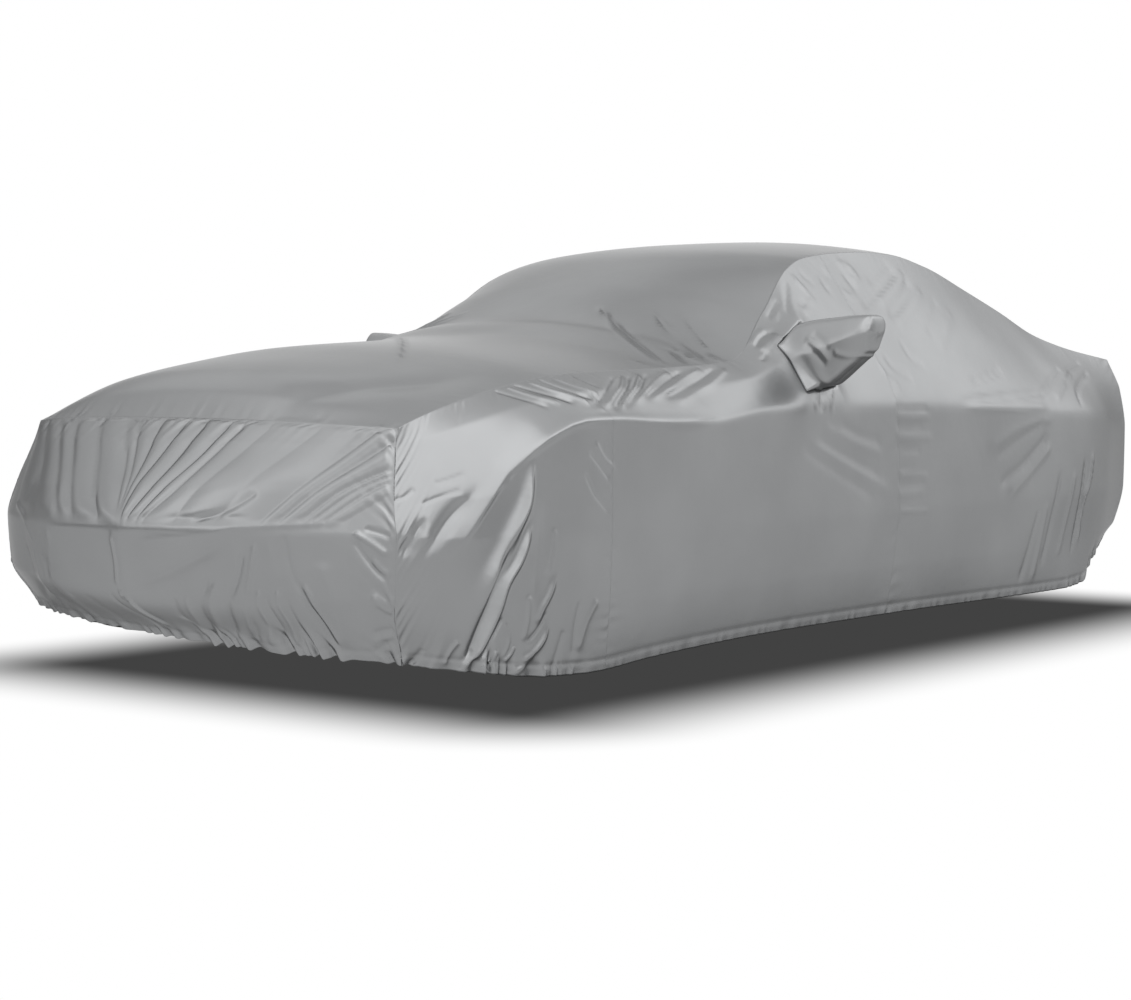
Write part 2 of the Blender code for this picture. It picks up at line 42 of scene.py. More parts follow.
# Sides: each is three lengths of coated polyester taffeta, joined by two upright seams that are
# felled and topstitched. The cloth is tight from the top seam to the shoulder, hangs from there,
# and is gathered by the elastic in its hem round the front corner.
STATIONS = (
    # y, seam x, z, brow x, z, crest x, z, flank x, z, sill x, z, hem x, z, bow, crown
    (-2.70, 0.742, 0.828, 0.748, 0.775, 0.782, 0.645, 0.808, 0.545, 0.797, 0.360, 0.757, 0.185, 0.15, 0.022),
    (-2.62, 0.744, 0.854, 0.770, 0.796, 0.822, 0.650, 0.858, 0.530, 0.846, 0.352, 0.822, 0.170, 0.15, 0.078),
    (-2.50, 0.746, 0.886, 0.798, 0.828, 0.880, 0.636, 0.892, 0.525, 0.892, 0.342, 0.876, 0.152, 0.14, 0.102),
    (-2.25, 0.748, 0.938, 0.834, 0.888, 0.926, 0.794, 0.926, 0.520, 0.922, 0.320, 0.910, 0.120, 0.13, 0.094),
    (-2.03, 0.752, 0.968, 0.852, 0.922, 0.940, 0.838, 0.939, 0.510, 0.930, 0.310, 0.914, 0.112, 0.12, 0.093),
    (-1.75, 0.755, 0.982, 0.850, 0.930, 0.940, 0.827, 0.937, 0.500, 0.922, 0.310, 0.900, 0.124, 0.13, 0.094),
    (-1.45, 0.760, 0.992, 0.846, 0.930, 0.934, 0.827, 0.935, 0.500, 0.916, 0.310, 0.892, 0.134, 0.16, 0.102),
    (-1.15, 0.776, 1.010, 0.862, 0.956, 0.930, 0.853, 0.936, 0.500, 0.914, 0.310, 0.888, 0.140, 0.22, 0.134),
    (-0.84, 0.700, 1.170, 0.826, 1.035, 0.932, 0.860, 0.938, 0.500, 0.914, 0.310, 0.886, 0.142, 0.20, 0.108),
    (-0.60, 0.640, 1.325, 0.798, 1.110, 0.932, 0.862, 0.938, 0.500, 0.914, 0.310, 0.886, 0.142, 0.15, 0.054),
    (-0.46, 0.616, 1.368, 0.785, 1.130, 0.932, 0.862, 0.938, 0.500, 0.914, 0.310, 0.886, 0.142, 0.12, 0.042),
    (-0.20, 0.602, 1.396, 0.775, 1.142, 0.932, 0.860, 0.938, 0.500, 0.916, 0.310, 0.888, 0.142, 0.05, 0.047),
    (0.00, 0.600, 1.405, 0.772, 1.144, 0.933, 0.855, 0.939, 0.500, 0.918, 0.310, 0.890, 0.141, 0.00, 0.050),
    (0.15, 0.600, 1.402, 0.772, 1.140, 0.934, 0.850, 0.940, 0.500, 0.920, 0.310, 0.892, 0.140, -0.02, 0.050),
    (0.40, 0.606, 1.364, 0.775, 1.116, 0.938, 0.840, 0.944, 0.500, 0.926, 0.310, 0.900, 0.139, -0.05, 0.052),
    (0.68, 0.622, 1.282, 0.788, 1.060, 0.940, 0.828, 0.946, 0.500, 0.932, 0.310, 0.912, 0.139, -0.08, 0.050),
    (0.92, 0.646, 1.201, 0.800, 1.005, 0.936, 0.820, 0.940, 0.500, 0.926, 0.310, 0.914, 0.139, -0.10, 0.046),
    (1.14, 0.676, 1.116, 0.812, 0.967, 0.922, 0.812, 0.924, 0.500, 0.906, 0.310, 0.896, 0.148, -0.12, 0.040),
    (1.34, 0.700, 1.070, 0.805, 0.942, 0.888, 0.800, 0.890, 0.500, 0.868, 0.320, 0.845, 0.230, -0.13, 0.036),
    (1.70, 0.715, 1.020, 0.755, 0.907, 0.775, 0.760, 0.776, 0.500, 0.765, 0.350, 0.728, 0.262, -0.15, 0.030),
)
GUIDES = 6  # guide lines down the cloth in each row above, from the seam to the hem
NOSE_SEAM = (-2.690, -2.708, -2.752, -2.770, -2.764, -2.692)  # y of the front corner seam on them
TAIL_SEAM = (1.725, 1.760, 1.775, 1.765, 1.700, 1.600)  # and of the rear one
CORNER_REACH = 0.40  # how far along the side the slant of those seams fades out
FULLNESS = 2.4  # power of the curve across the strip and the ends: higher is boxier
TIGHTNESS = 0.80  # share of straight line, not curve, in the cloth between two guide lines
HEM_RISE = 0.075  # metres that the nose's hem rides higher at the far side


def smooth(knots, values, at, tight=0.0):
    """Monotone cubic curve through the values at the knots, read at `at`: Hermite pieces whose slope
    at a knot is the weighted harmonic mean of the two chords, and 0 where those change sign. tight
    pulls it that share of the way to the straight lines, as cloth is between what carries it."""
    x, y, at = (np.asarray(v, float) for v in (knots, values, at))
    wide = (-1,) + (1,) * (y.ndim - 1)
    step = np.diff(x).reshape(wide)
    chord = np.diff(y, axis=0) / step
    w1, w2 = 2 * step[1:] + step[:-1], step[1:] + 2 * step[:-1]
    same = chord[:-1] * chord[1:] > 0
    before, after = np.where(same, chord[:-1], 1.0), np.where(same, chord[1:], 1.0)
    inner = np.where(same, (w1 + w2) / (w1 / before + w2 / after), 0.0)
    slope = np.concatenate([chord[:1], inner, chord[-1:]])
    i = np.clip(np.searchsorted(x, at) - 1, 0, len(x) - 2)
    t = np.clip((at - x[i]) / np.diff(x)[i], 0.0, 1.0).reshape(wide)
    h = step[i]
    curve = ((2 * t**3 - 3 * t**2 + 1) * y[i] + (t**3 - 2 * t**2 + t) * h * slope[i]
             + (3 * t**2 - 2 * t**3) * y[i + 1] + (t**3 - t**2) * h * slope[i + 1])
    return (1 - tight) * curve + tight * (y[i] * (1 - t) + y[i + 1] * t)


def ease(a, b, x):
    """0 at a, 1 at b, with a soft start and end: 3t^2 - 2t^3 of the share t of the way."""
    t = np.clip((np.asarray(x, float) - a) / (b - a), 0.0, 1.0)
    return t * t * (3 - 2 * t)


def rows_of(first, rest):
    """Row values from 0, the seam, to 5, the hem: `first` rows to each of the two guide intervals at
    the top and `rest` to each of the three below."""
    parts = [g + np.arange(n) / n for g, n in enumerate((first, first, rest, rest, rest))]
    return np.concatenate(parts + [[5.0]])


def relax(grid, passes):
    """Each point moved a quarter of the way towards its neighbours up and down the cloth, a few times."""
    for _ in range(passes):
        grid[1:-1] += 0.25 * (grid[2:] - 2 * grid[1:-1] + grid[:-2])
    return grid


def lean(points):
    """The nose's hem rides higher towards the far side, fading out along, up and across."""
    x, y, z = np.moveaxis(points, -1, 0)
    share = ease(-2.00, -2.70, y) * ease(0.50, 0.16, z) * np.clip((0.75 - x) / 1.5, 0, 1)
    points[..., 2] = z + HEM_RISE * share
    return points


def corner_slant(y):
    """How far each guide line, a row for each, is moved in y at the two corner seams. It fades with
    the square of the way to the corner reach."""
    seams = ((STATIONS[0][0], NOSE_SEAM), (STATIONS[-1][0], TAIL_SEAM))
    return sum((np.array(seam) - end)[:, None] * np.clip(1 - np.abs(y - end) / CORNER_REACH, 0, 1) ** 2
               for end, seam in seams)


def side_cloth(y, rows, side):
    """The near (1) or far (-1) side as x, y, z over a row for each row value and a column for each y.
    The guide lines run smoothly through the stations, the cloth is drawn from one to the next, and
    y slants to the corner seams."""
    stations = np.array(STATIONS)
    guides = np.arange(float(GUIDES))
    lines = smooth(stations[:, 0], stations[:, 1 : 1 + 2 * GUIDES], y)
    grid = np.stack([
        smooth(guides, lines[:, 0::2].T, rows, TIGHTNESS),
        y + smooth(guides, corner_slant(y), rows),
        smooth(guides, lines[:, 1::2].T, rows, TIGHTNESS),
    ], axis=-1)
    return lean(relax(grid, 3) * (side, 1.0, 1.0))


def unit(vectors):
    """The vectors at length 1."""
    return vectors / np.maximum(np.linalg.norm(vectors, axis=-1, keepdims=True), 1e-12)


def outwards(grid, sign):
    """Unit normals from the slopes along rows and columns, turned outwards by sign."""
    return sign * unit(np.cross(np.gradient(grid, axis=0), np.gradient(grid, axis=1)))


def raised(grid, sign, height):
    """The cloth with each point moved out along its normal by the height there."""
    return grid + outwards(grid, sign) * height[..., None]


def from_edges(grid):
    """Metres along the cloth from each point to the named edges of its grid, added up from point to
    point down the columns for top and bottom, and along the rows for first and last."""
    down = np.cumsum(np.linalg.norm(np.diff(grid, axis=0, prepend=grid[:1]), axis=-1), axis=0)
    along = np.cumsum(np.linalg.norm(np.diff(grid, axis=1, prepend=grid[:, :1]), axis=-1), axis=1)
    return {"top": down, "bottom": down[-1:] - down, "first": along, "last": along[:, -1:] - along}


def held(grid, edges, reach):
    """0 at the given edges, where a seam holds the cloth, rising to 1 at the reach inside them."""
    away = from_edges(grid)
    return math.prod(ease(0.0, reach, away[edge]) for edge in edges)


CREASE_STEPS = 24  # straight steps that a fold's path is measured by


def crease(a, b, path, start, end, height, bias, ends=(0.12, 0.16)):
    """Height of one fold at the points a, b of the flat view. The path is a smooth curve through its
    points. Across it the fold is a pinched bell, exp(-2.3 t^1.6), with t the distance over the width,
    which runs from start to end. bias makes one flank steeper. Along it the height eases in and out
    over the shares in ends."""
    points = np.array(path)
    chord = np.concatenate(([0.0], np.cumsum(np.hypot(*np.diff(points, axis=0).T))))
    line = smooth(chord, points, np.linspace(0, chord[-1], CREASE_STEPS + 1))
    reach = 2.0 * max(start, end) * (1 + abs(bias))
    low, high = line.min(axis=0) - reach, line.max(axis=0) + reach
    near = (a > low[0]) & (a < high[0]) & (b > low[1]) & (b < high[1])
    out = np.zeros(a.shape)
    if not near.any():
        return out
    spot = np.stack([a[near], b[near]], axis=-1)[:, None, :]
    leg = (line[1:] - line[:-1])[None]
    gap = spot - line[:-1][None]
    t = np.clip((gap * leg).sum(-1) / (leg**2).sum(-1), 0, 1)
    off = gap - t[..., None] * leg
    distance = np.hypot(off[..., 0], off[..., 1])
    best = distance.argmin(axis=1)
    pick = np.arange(len(best))
    side = np.sign(leg[0, best, 0] * gap[pick, best, 1] - leg[0, best, 1] * gap[pick, best, 0])
    along = (best + t[pick, best]) / CREASE_STEPS
    width = (start + (end - start) * along) * (1 + bias * side)
    fade = ease(0, ends[0], along) * ease(1, 1 - ends[1], along)
    out[near] = height * fade * np.exp(-2.3 * (distance[pick, best] / width) ** 1.6)
    return out


def folded(grid, sign, view, folds, pinned):
    """The cloth with its folds: each point moves out along its normal by the sum of the creases at
    its place in the flat view, and not at all at the pinned edges."""
    a, b = (grid[..., k] for k in view)
    depth = sum(crease(a, b, *fold) for fold in folds)
    return raised(grid, sign, depth * held(grid, pinned, 0.016))


def seam_puckers(grid, edges, seed):
    """Fine gathers beside sewn edges: waves along the edge that die away in a few centimetres and
    start a needle's breadth from it. Each edge has its height in metres and its slant, which draws
    the waves out at an angle. Three sines of unequal pitch make them uneven."""
    away = from_edges(grid)
    depth = np.zeros(grid.shape[:2])
    for k, (edge, height, slant, reach, pitch) in enumerate(edges):
        across = away[edge]
        along = away["first" if edge in ("top", "bottom") else "top"]
        s = math.tau * (along + slant * across) / pitch
        phase = seed + 2.1 * k
        wave = np.sin(s + phase) + 0.7 * np.sin(0.618 * s + 1.7 * phase + 1.0)
        wave = wave * (0.55 + 0.45 * np.sin(0.173 * s + 2.3 * phase))
        depth += height * wave * np.exp(-across / reach) * ease(0.0, 0.012, across)
    return depth


HEM_PITCH = 0.056  # metres between two gathers of the hem, and over which that pitch drifts
HEM_DRIFT = 0.27
CHANNEL = (0.0014, 0.030, 0.007)  # the stitched groove's depth, height above the hem and width


def hem_gathers(grid, along, table, seed):
    """Gathers that the hem's elastic draws in: waves along the hem, from nothing at their reach
    above it to full height at the hem, uneven in pitch and reach, and the shallow groove of the
    stitching that closes the elastic's channel. The table gives height and reach at places along
    the hem."""
    above = from_edges(grid)["bottom"]
    place, heights, reaches = np.array(table).T
    s = math.tau * (along / HEM_PITCH + 0.45 * np.sin(math.tau * along / HEM_DRIFT + seed))
    reach = np.interp(along, place, reaches) * (0.72 + 0.28 * np.sin(0.41 * s + 3.1 * seed))
    wave = np.sin(s + seed) + 0.8 * np.sin(0.71 * s + 2.0 * seed) + 0.5 * np.sin(1.63 * s + 0.7 * seed)
    depth, middle, width = CHANNEL
    groove = depth * np.exp(-(((above - middle) / width) ** 2))
    return np.interp(along, place, heights) * wave * ease(reach, 0.0, above) ** 1.5 - groove


NEAR_FOLDS = (
    # path as y, z above the floor, width at start, at end, height, bias, and for some the ends
    (((-1.420, 0.826), (-1.600, 0.822), (-1.760, 0.828), (-1.950, 0.838), (-2.113, 0.837), (-2.198, 0.814),
     (-2.282, 0.780), (-2.359, 0.734), (-2.425, 0.685), (-2.470, 0.633), (-2.512, 0.588), (-2.554, 0.542),
     (-2.603, 0.496), (-2.658, 0.464)), 0.022, 0.028, 0.0075, -0.5),
    (((-2.474, 0.680), (-2.541, 0.633), (-2.608, 0.583), (-2.670, 0.520), (-2.721, 0.463)),
     0.022, 0.044, -0.0125, -0.1, (0.45, 0.30)),
    (((-2.674, 0.592), (-2.717, 0.545), (-2.757, 0.476)), 0.016, 0.028, -0.0090, -0.1, (0.30, 0.30)),
    (((-2.665, 0.553), (-2.716, 0.487), (-2.755, 0.425)), 0.014, 0.016, 0.0030, -0.2, (0.30, 0.30)),
    (((-2.528, 0.701), (-2.575, 0.688), (-2.633, 0.675)), 0.008, 0.008, -0.0029, 0.0),
    (((-2.551, 0.660), (-2.626, 0.642), (-2.689, 0.621)), 0.009, 0.009, -0.0026, 0.0),
    (((-2.687, 0.666), (-2.723, 0.645), (-2.758, 0.635)), 0.008, 0.008, -0.0029, 0.0),
    (((-2.318, 0.754), (-2.327, 0.696), (-2.341, 0.627), (-2.388, 0.540), (-2.436, 0.467),
     (-2.476, 0.409), (-2.511, 0.342), (-2.540, 0.266)), 0.020, 0.054, 0.0210, -0.3, (0.30, 0.35)),
    (((-2.345, 0.593), (-2.402, 0.514), (-2.441, 0.452), (-2.466, 0.392), (-2.495, 0.325),
     (-2.521, 0.264), (-2.541, 0.212), (-2.572, 0.163)), 0.020, 0.022, -0.0150, 0.1, (0.40, 0.10)),
    (((-2.327, 0.572), (-2.345, 0.513), (-2.373, 0.456), (-2.426, 0.389), (-2.455, 0.321),
     (-2.486, 0.261), (-2.522, 0.202), (-2.572, 0.163)), 0.020, 0.024, 0.0150, -0.3, (0.20, 0.10)),
    (((-2.435, 0.303), (-2.466, 0.251), (-2.506, 0.184)), 0.007, 0.009, -0.0072, 0.0),
    (((-2.287, 0.622), (-2.296, 0.485), (-2.318, 0.325)), 0.030, 0.034, -0.0045, 0.0, (0.40, 0.30)),
    (((-2.233, 0.540), (-2.247, 0.474), (-2.264, 0.409)), 0.014, 0.014, 0.0036, 0.0),
    (((-2.220, 0.415), (-2.251, 0.353), (-2.287, 0.306), (-2.309, 0.266)),
     0.019, 0.022, 0.0075, -0.3, (0.35, 0.16)),
    (((-2.260, 0.304), (-2.296, 0.257), (-2.340, 0.220)), 0.009, 0.013, -0.0045, 0.0),
    (((-2.251, 0.278), (-2.269, 0.230), (-2.309, 0.191), (-2.362, 0.165)),
     0.015, 0.018, 0.0080, -0.3, (0.35, 0.16)),
    (((-2.386, 0.217), (-2.399, 0.194), (-2.425, 0.173)), 0.007, 0.008, 0.0058, -0.2),
    (((-2.336, 0.359), (-2.341, 0.286), (-2.358, 0.222)), 0.015, 0.016, 0.0041, 0.0),
    (((-2.425, 0.286), (-2.409, 0.236), (-2.430, 0.182)), 0.008, 0.008, 0.0036, 0.0),
    (((-2.038, 0.326), (-2.087, 0.261), (-2.122, 0.172)), 0.021, 0.026, 0.0041, 0.0),
    (((-2.118, 0.329), (-2.136, 0.247), (-2.140, 0.156)), 0.017, 0.022, -0.0030, 0.0),
    (((-2.184, 0.249), (-2.207, 0.192), (-2.233, 0.127)), 0.017, 0.018, -0.0025, 0.0),
    (((-2.576, 0.246), (-2.596, 0.211), (-2.604, 0.175)), 0.009, 0.009, 0.0051, 0.0),
    (((-2.533, 0.219), (-2.546, 0.190), (-2.567, 0.162)), 0.007, 0.007, -0.0043, 0.0),
    (((-2.664, 0.228), (-2.668, 0.194), (-2.683, 0.183)), 0.009, 0.009, -0.0036, 0.0),
    (((-2.449, 0.209), (-2.470, 0.180), (-2.489, 0.151)), 0.007, 0.007, 0.0043, 0.0),
    (((-2.304, 0.183), (-2.340, 0.162), (-2.388, 0.135)), 0.011, 0.013, 0.0041, 0.0),
    (((-2.091, 0.753), (-2.042, 0.712), (-1.989, 0.664)), 0.009, 0.009, -0.0026, 0.0),
    (((-2.064, 0.780), (-2.020, 0.727), (-1.965, 0.695)), 0.009, 0.009, 0.0026, 0.0),
    (((-2.109, 0.694), (-2.069, 0.634), (-1.989, 0.571)), 0.010, 0.010, -0.0022, 0.0),
    (((-2.302, 0.931), (-2.251, 0.909), (-2.180, 0.877)), 0.009, 0.014, -0.0036, 0.0),
    (((-2.251, 0.942), (-2.211, 0.917), (-2.136, 0.888)), 0.009, 0.014, 0.0043, 0.0),
    (((-2.216, 0.948), (-2.158, 0.922), (-2.082, 0.890)), 0.009, 0.014, -0.0051, 0.0),
    (((-2.156, 0.955), (-2.118, 0.927), (-2.024, 0.888)), 0.009, 0.014, 0.0058, 0.0),
    (((-2.102, 0.963), (-2.069, 0.933), (-1.989, 0.900)), 0.009, 0.011, -0.0058, 0.0),
    (((-2.047, 0.967), (-2.020, 0.942), (-1.950, 0.914)), 0.009, 0.011, 0.0058, 0.0),
    (((-1.950, 0.973), (-1.934, 0.952), (-1.904, 0.932)), 0.008, 0.010, -0.0051, 0.0),
    (((-1.767, 0.966), (-1.889, 0.927), (-2.011, 0.880)), 0.007, 0.011, -0.0065, 0.0),
    (((-1.722, 0.969), (-1.859, 0.919), (-1.984, 0.871)), 0.007, 0.011, 0.0065, 0.0),
    (((-1.676, 0.970), (-1.813, 0.920), (-1.950, 0.862)), 0.007, 0.011, -0.0065, 0.0),
    (((-1.631, 0.973), (-1.767, 0.926), (-1.904, 0.872)), 0.008, 0.011, 0.0065, 0.0),
    (((-1.585, 0.974), (-1.737, 0.923), (-1.889, 0.872)), 0.007, 0.013, -0.0058, 0.0),
    (((-1.479, 0.979), (-1.646, 0.940), (-1.813, 0.886)), 0.008, 0.014, 0.0058, 0.0),
    (((-1.403, 0.981), (-1.555, 0.947), (-1.752, 0.899)), 0.007, 0.014, -0.0058, 0.0),
    (((-1.312, 0.988), (-1.464, 0.953), (-1.722, 0.894)), 0.008, 0.014, 0.0051, 0.0),
    (((-1.236, 0.991), (-1.388, 0.950), (-1.646, 0.897)), 0.007, 0.016, -0.0058, 0.0),
    (((-1.190, 0.991), (-1.388, 0.928), (-1.600, 0.879)), 0.008, 0.016, 0.0043, 0.0),
    (((-0.932, 0.752), (-0.674, 0.660), (-0.386, 0.562)), 0.021, 0.035, 0.0029, 0.0),
    (((-0.963, 0.736), (-0.735, 0.644), (-0.477, 0.549)), 0.021, 0.035, -0.0024, 0.0),
    (((-0.841, 0.797), (-0.644, 0.744), (-0.431, 0.690)), 0.018, 0.032, 0.0029, 0.0),
    (((-0.871, 0.767), (-0.674, 0.694), (-0.446, 0.624)), 0.018, 0.032, -0.0024, 0.0),
    (((-0.735, 0.810), (-0.583, 0.759), (-0.446, 0.741)), 0.018, 0.028, -0.0020, 0.0),
    (((1.200, 0.668), (1.166, 0.563), (1.081, 0.442), (1.057, 0.282)), 0.011, 0.016, 0.0087, -0.3),
    (((1.109, 0.644), (1.050, 0.443), (0.998, 0.255)), 0.011, 0.016, -0.0072, 0.0),
    (((1.007, 0.593), (0.941, 0.441), (0.869, 0.252)), 0.016, 0.021, 0.0051, 0.0),
    (((0.876, 0.597), (0.812, 0.447), (0.736, 0.222)), 0.016, 0.023, -0.0051, 0.0),
    (((0.755, 0.488), (0.713, 0.338), (0.672, 0.169)), 0.018, 0.023, 0.0043, 0.0),
    (((0.691, 0.460), (0.635, 0.323), (0.580, 0.176)), 0.016, 0.023, -0.0043, 0.0),
    (((0.791, 0.695), (0.638, 0.613), (0.420, 0.503)), 0.017, 0.033, 0.0056, -0.2),
    (((0.772, 0.741), (0.546, 0.624), (0.360, 0.553)), 0.017, 0.036, -0.0061, 0.0),
    (((0.807, 0.797), (0.530, 0.765), (0.265, 0.684)), 0.019, 0.036, 0.0036, 0.0),
    (((0.739, 0.791), (0.561, 0.735), (0.346, 0.659)), 0.013, 0.023, -0.0030, 0.0),
    (((0.825, 0.896), (0.496, 0.884), (0.099, 0.867)), 0.016, 0.014, -0.0058, 0.0),
    (((0.789, 0.839), (0.422, 0.841), (0.105, 0.849)), 0.014, 0.018, 0.0058, 0.0),
    (((1.439, 0.970), (1.146, 0.893), (1.078, 0.824)), 0.011, 0.014, -0.0051, 0.0),
    (((1.222, 0.971), (1.007, 0.909), (0.874, 0.865)), 0.014, 0.014, 0.0051, 0.0),
    (((1.141, 0.987), (0.918, 0.925), (0.739, 0.874)), 0.014, 0.014, -0.0051, 0.0),
    (((1.426, 1.010), (1.198, 0.971), (1.042, 0.917)), 0.011, 0.011, -0.0043, 0.0),
    (((0.555, 0.980), (0.366, 0.951), (0.226, 0.930)), 0.014, 0.014, -0.0043, 0.0),
    (((0.136, 1.345), (-0.048, 1.274), (-0.203, 1.220), (-0.270, 1.187)), 0.020, 0.020, -0.0059, 0.0),
    (((0.182, 1.339), (0.004, 1.268), (-0.138, 1.214)), 0.020, 0.020, 0.0046, 0.0),
    (((0.193, 1.309), (0.072, 1.240), (-0.120, 1.165)), 0.020, 0.020, -0.0059, 0.0),
    (((0.246, 1.281), (0.105, 1.215), (-0.097, 1.137)), 0.021, 0.021, 0.0039, 0.0),
    (((0.110, 1.373), (-0.007, 1.333), (-0.126, 1.286)), 0.021, 0.021, -0.0032, 0.0),
    (((0.325, 1.238), (0.219, 1.170), (0.097, 1.103)), 0.024, 0.024, -0.0026, 0.0),
    (((0.397, 1.203), (0.263, 1.126), (0.131, 1.053)), 0.024, 0.024, 0.0023, 0.0),
    (((-0.121, 1.087), (-0.111, 1.030), (-0.034, 0.995)), 0.021, 0.024, -0.0026, 0.0),
    (((-0.293, 1.030), (-0.253, 0.988), (-0.161, 0.953)), 0.020, 0.024, -0.0039, 0.0),
    (((-0.355, 1.009), (-0.334, 0.961), (-0.275, 0.920)), 0.011, 0.016, 0.0036, 0.0),
    (((-0.365, 0.849), (-0.249, 0.843), (-0.124, 0.845)), 0.010, 0.011, -0.0036, 0.0),
    (((-0.365, 0.828), (-0.237, 0.819), (-0.112, 0.820)), 0.010, 0.011, 0.0029, 0.0),
    (((-0.366, 0.797), (-0.279, 0.785), (-0.168, 0.787)), 0.010, 0.011, -0.0036, 0.0),
    (((-0.367, 0.756), (-0.254, 0.747), (-0.100, 0.743)), 0.011, 0.011, 0.0043, 0.0),
    (((-0.367, 0.722), (-0.280, 0.709), (-0.184, 0.707)), 0.010, 0.011, -0.0026, 0.0),
    (((-0.355, 0.626), (-0.242, 0.615), (-0.129, 0.611)), 0.010, 0.011, 0.0032, 0.0),
    (((-0.355, 0.598), (-0.240, 0.590), (-0.157, 0.591)), 0.010, 0.011, -0.0023, 0.0),
    (((-0.356, 0.557), (-0.256, 0.556), (-0.159, 0.559)), 0.010, 0.011, 0.0029, 0.0),
    (((-0.349, 0.498), (-0.240, 0.490), (-0.128, 0.488)), 0.010, 0.011, 0.0026, 0.0),
    (((-0.637, 1.287), (-0.699, 1.217), (-0.752, 1.152)), 0.013, 0.013, -0.0037, 0.0),
    (((-0.592, 1.302), (-0.578, 1.271), (-0.558, 1.241)), 0.013, 0.013, 0.0052, 0.0),
    (((-0.534, 1.324), (-0.515, 1.297), (-0.488, 1.277)), 0.013, 0.013, -0.0026, 0.0),
    (((-0.264, 1.354), (-0.204, 1.348), (-0.175, 1.321), (-0.229, 1.283)), 0.020, 0.020, 0.0046, 0.0),
    (((-0.255, 1.325), (-0.247, 1.297), (-0.233, 1.262)), 0.020, 0.020, -0.0037, 0.0),
    (((-0.322, 1.260), (-0.302, 1.236), (-0.249, 1.247)), 0.013, 0.013, 0.0037, 0.0),
    (((-0.360, 1.329), (-0.424, 1.278), (-0.411, 1.244)), 0.018, 0.020, -0.0039, 0.0),
    (((-0.537, 1.234), (-0.616, 1.191), (-0.664, 1.164)), 0.013, 0.013, 0.0037, 0.0),
    (((-0.610, 1.219), (-0.651, 1.198), (-0.594, 1.212)), 0.013, 0.013, -0.0026, 0.0),
    (((-0.733, 1.217), (-0.787, 1.182), (-0.836, 1.148)), 0.008, 0.009, -0.0043, 0.0),
    (((-0.777, 1.176), (-0.804, 1.155), (-0.826, 1.141)), 0.008, 0.008, 0.0043, 0.0),
    (((-0.985, 1.041), (-0.917, 1.065), (-0.859, 1.085)), 0.010, 0.010, 0.0065, 0.0),
    (((-1.017, 1.012), (-0.977, 1.028), (-0.964, 1.041)), 0.008, 0.008, -0.0051, 0.0),
    (((-0.988, 1.054), (-0.924, 1.088), (-0.843, 1.108)), 0.009, 0.009, -0.0051, 0.0),
    (((-0.995, 1.064), (-0.933, 1.097), (-0.887, 1.114)), 0.007, 0.007, 0.0051, 0.0),
    (((-0.818, 0.920), (-0.834, 0.885), (-0.845, 0.846)), 0.024, 0.022, -0.0055, 0.0),
    (((-0.754, 0.920), (-0.778, 0.878), (-0.784, 0.838)), 0.008, 0.008, 0.0058, 0.0),
    (((-0.861, 0.911), (-0.874, 0.879), (-0.881, 0.846)), 0.007, 0.007, 0.0043, 0.0),
)
FAR_FOLDS = (
    # the same on the far side
    (((-2.480, 0.720), (-2.590, 0.560), (-2.700, 0.350)), 0.020, 0.044, 0.0115, 0.0),
    (((-2.420, 0.740), (-2.510, 0.480), (-2.560, 0.160)), 0.020, 0.040, -0.0108, 0.3),
    (((-2.340, 0.760), (-2.410, 0.480), (-2.450, 0.150)), 0.018, 0.034, 0.0094, -0.3),
    (((-2.240, 0.650), (-2.280, 0.420), (-2.300, 0.140)), 0.020, 0.036, -0.0084, 0.0),
    (((-2.150, 0.550), (-2.200, 0.350), (-2.220, 0.140)), 0.020, 0.036, 0.0072, 0.0),
    (((-2.260, 0.936), (-2.190, 0.905), (-2.100, 0.880)), 0.010, 0.014, 0.0042, 0.0),
    (((-2.160, 0.950), (-2.100, 0.920), (-2.020, 0.890)), 0.010, 0.014, 0.0043, 0.0),
    (((-1.720, 0.967), (-1.840, 0.920), (-1.950, 0.880)), 0.008, 0.012, 0.0036, 0.0),
    (((-1.620, 0.970), (-1.770, 0.915), (-1.900, 0.870)), 0.008, 0.012, -0.0036, 0.0),
    (((-1.420, 0.980), (-1.580, 0.940), (-1.780, 0.890)), 0.010, 0.014, 0.0042, 0.0),
    (((-0.920, 0.770), (-0.680, 0.690), (-0.420, 0.600)), 0.016, 0.026, 0.0060, 0.0),
    (((-0.870, 0.720), (-0.640, 0.620), (-0.400, 0.520)), 0.016, 0.026, -0.0054, 0.0),
    (((-1.060, 1.000), (-1.000, 1.030), (-0.950, 1.050)), 0.010, 0.012, 0.0040, 0.0),
    (((-0.267, 1.187), (-0.111, 1.244), (0.073, 1.318)), 0.026, 0.030, -0.0045, 0.0),
    (((-0.200, 1.130), (-0.022, 1.195), (0.120, 1.270)), 0.030, 0.030, 0.0050, 0.0),
    (((0.900, 0.720), (0.720, 0.560), (0.520, 0.380)), 0.024, 0.040, 0.0072, 0.0),
    (((0.820, 0.740), (0.600, 0.620), (0.380, 0.520)), 0.022, 0.036, -0.0060, 0.0),
    (((1.160, 0.680), (1.080, 0.500), (1.020, 0.280)), 0.016, 0.028, 0.0079, 0.0),
    (((1.080, 0.560), (1.000, 0.400), (0.960, 0.220)), 0.016, 0.026, -0.0060, 0.0),
)
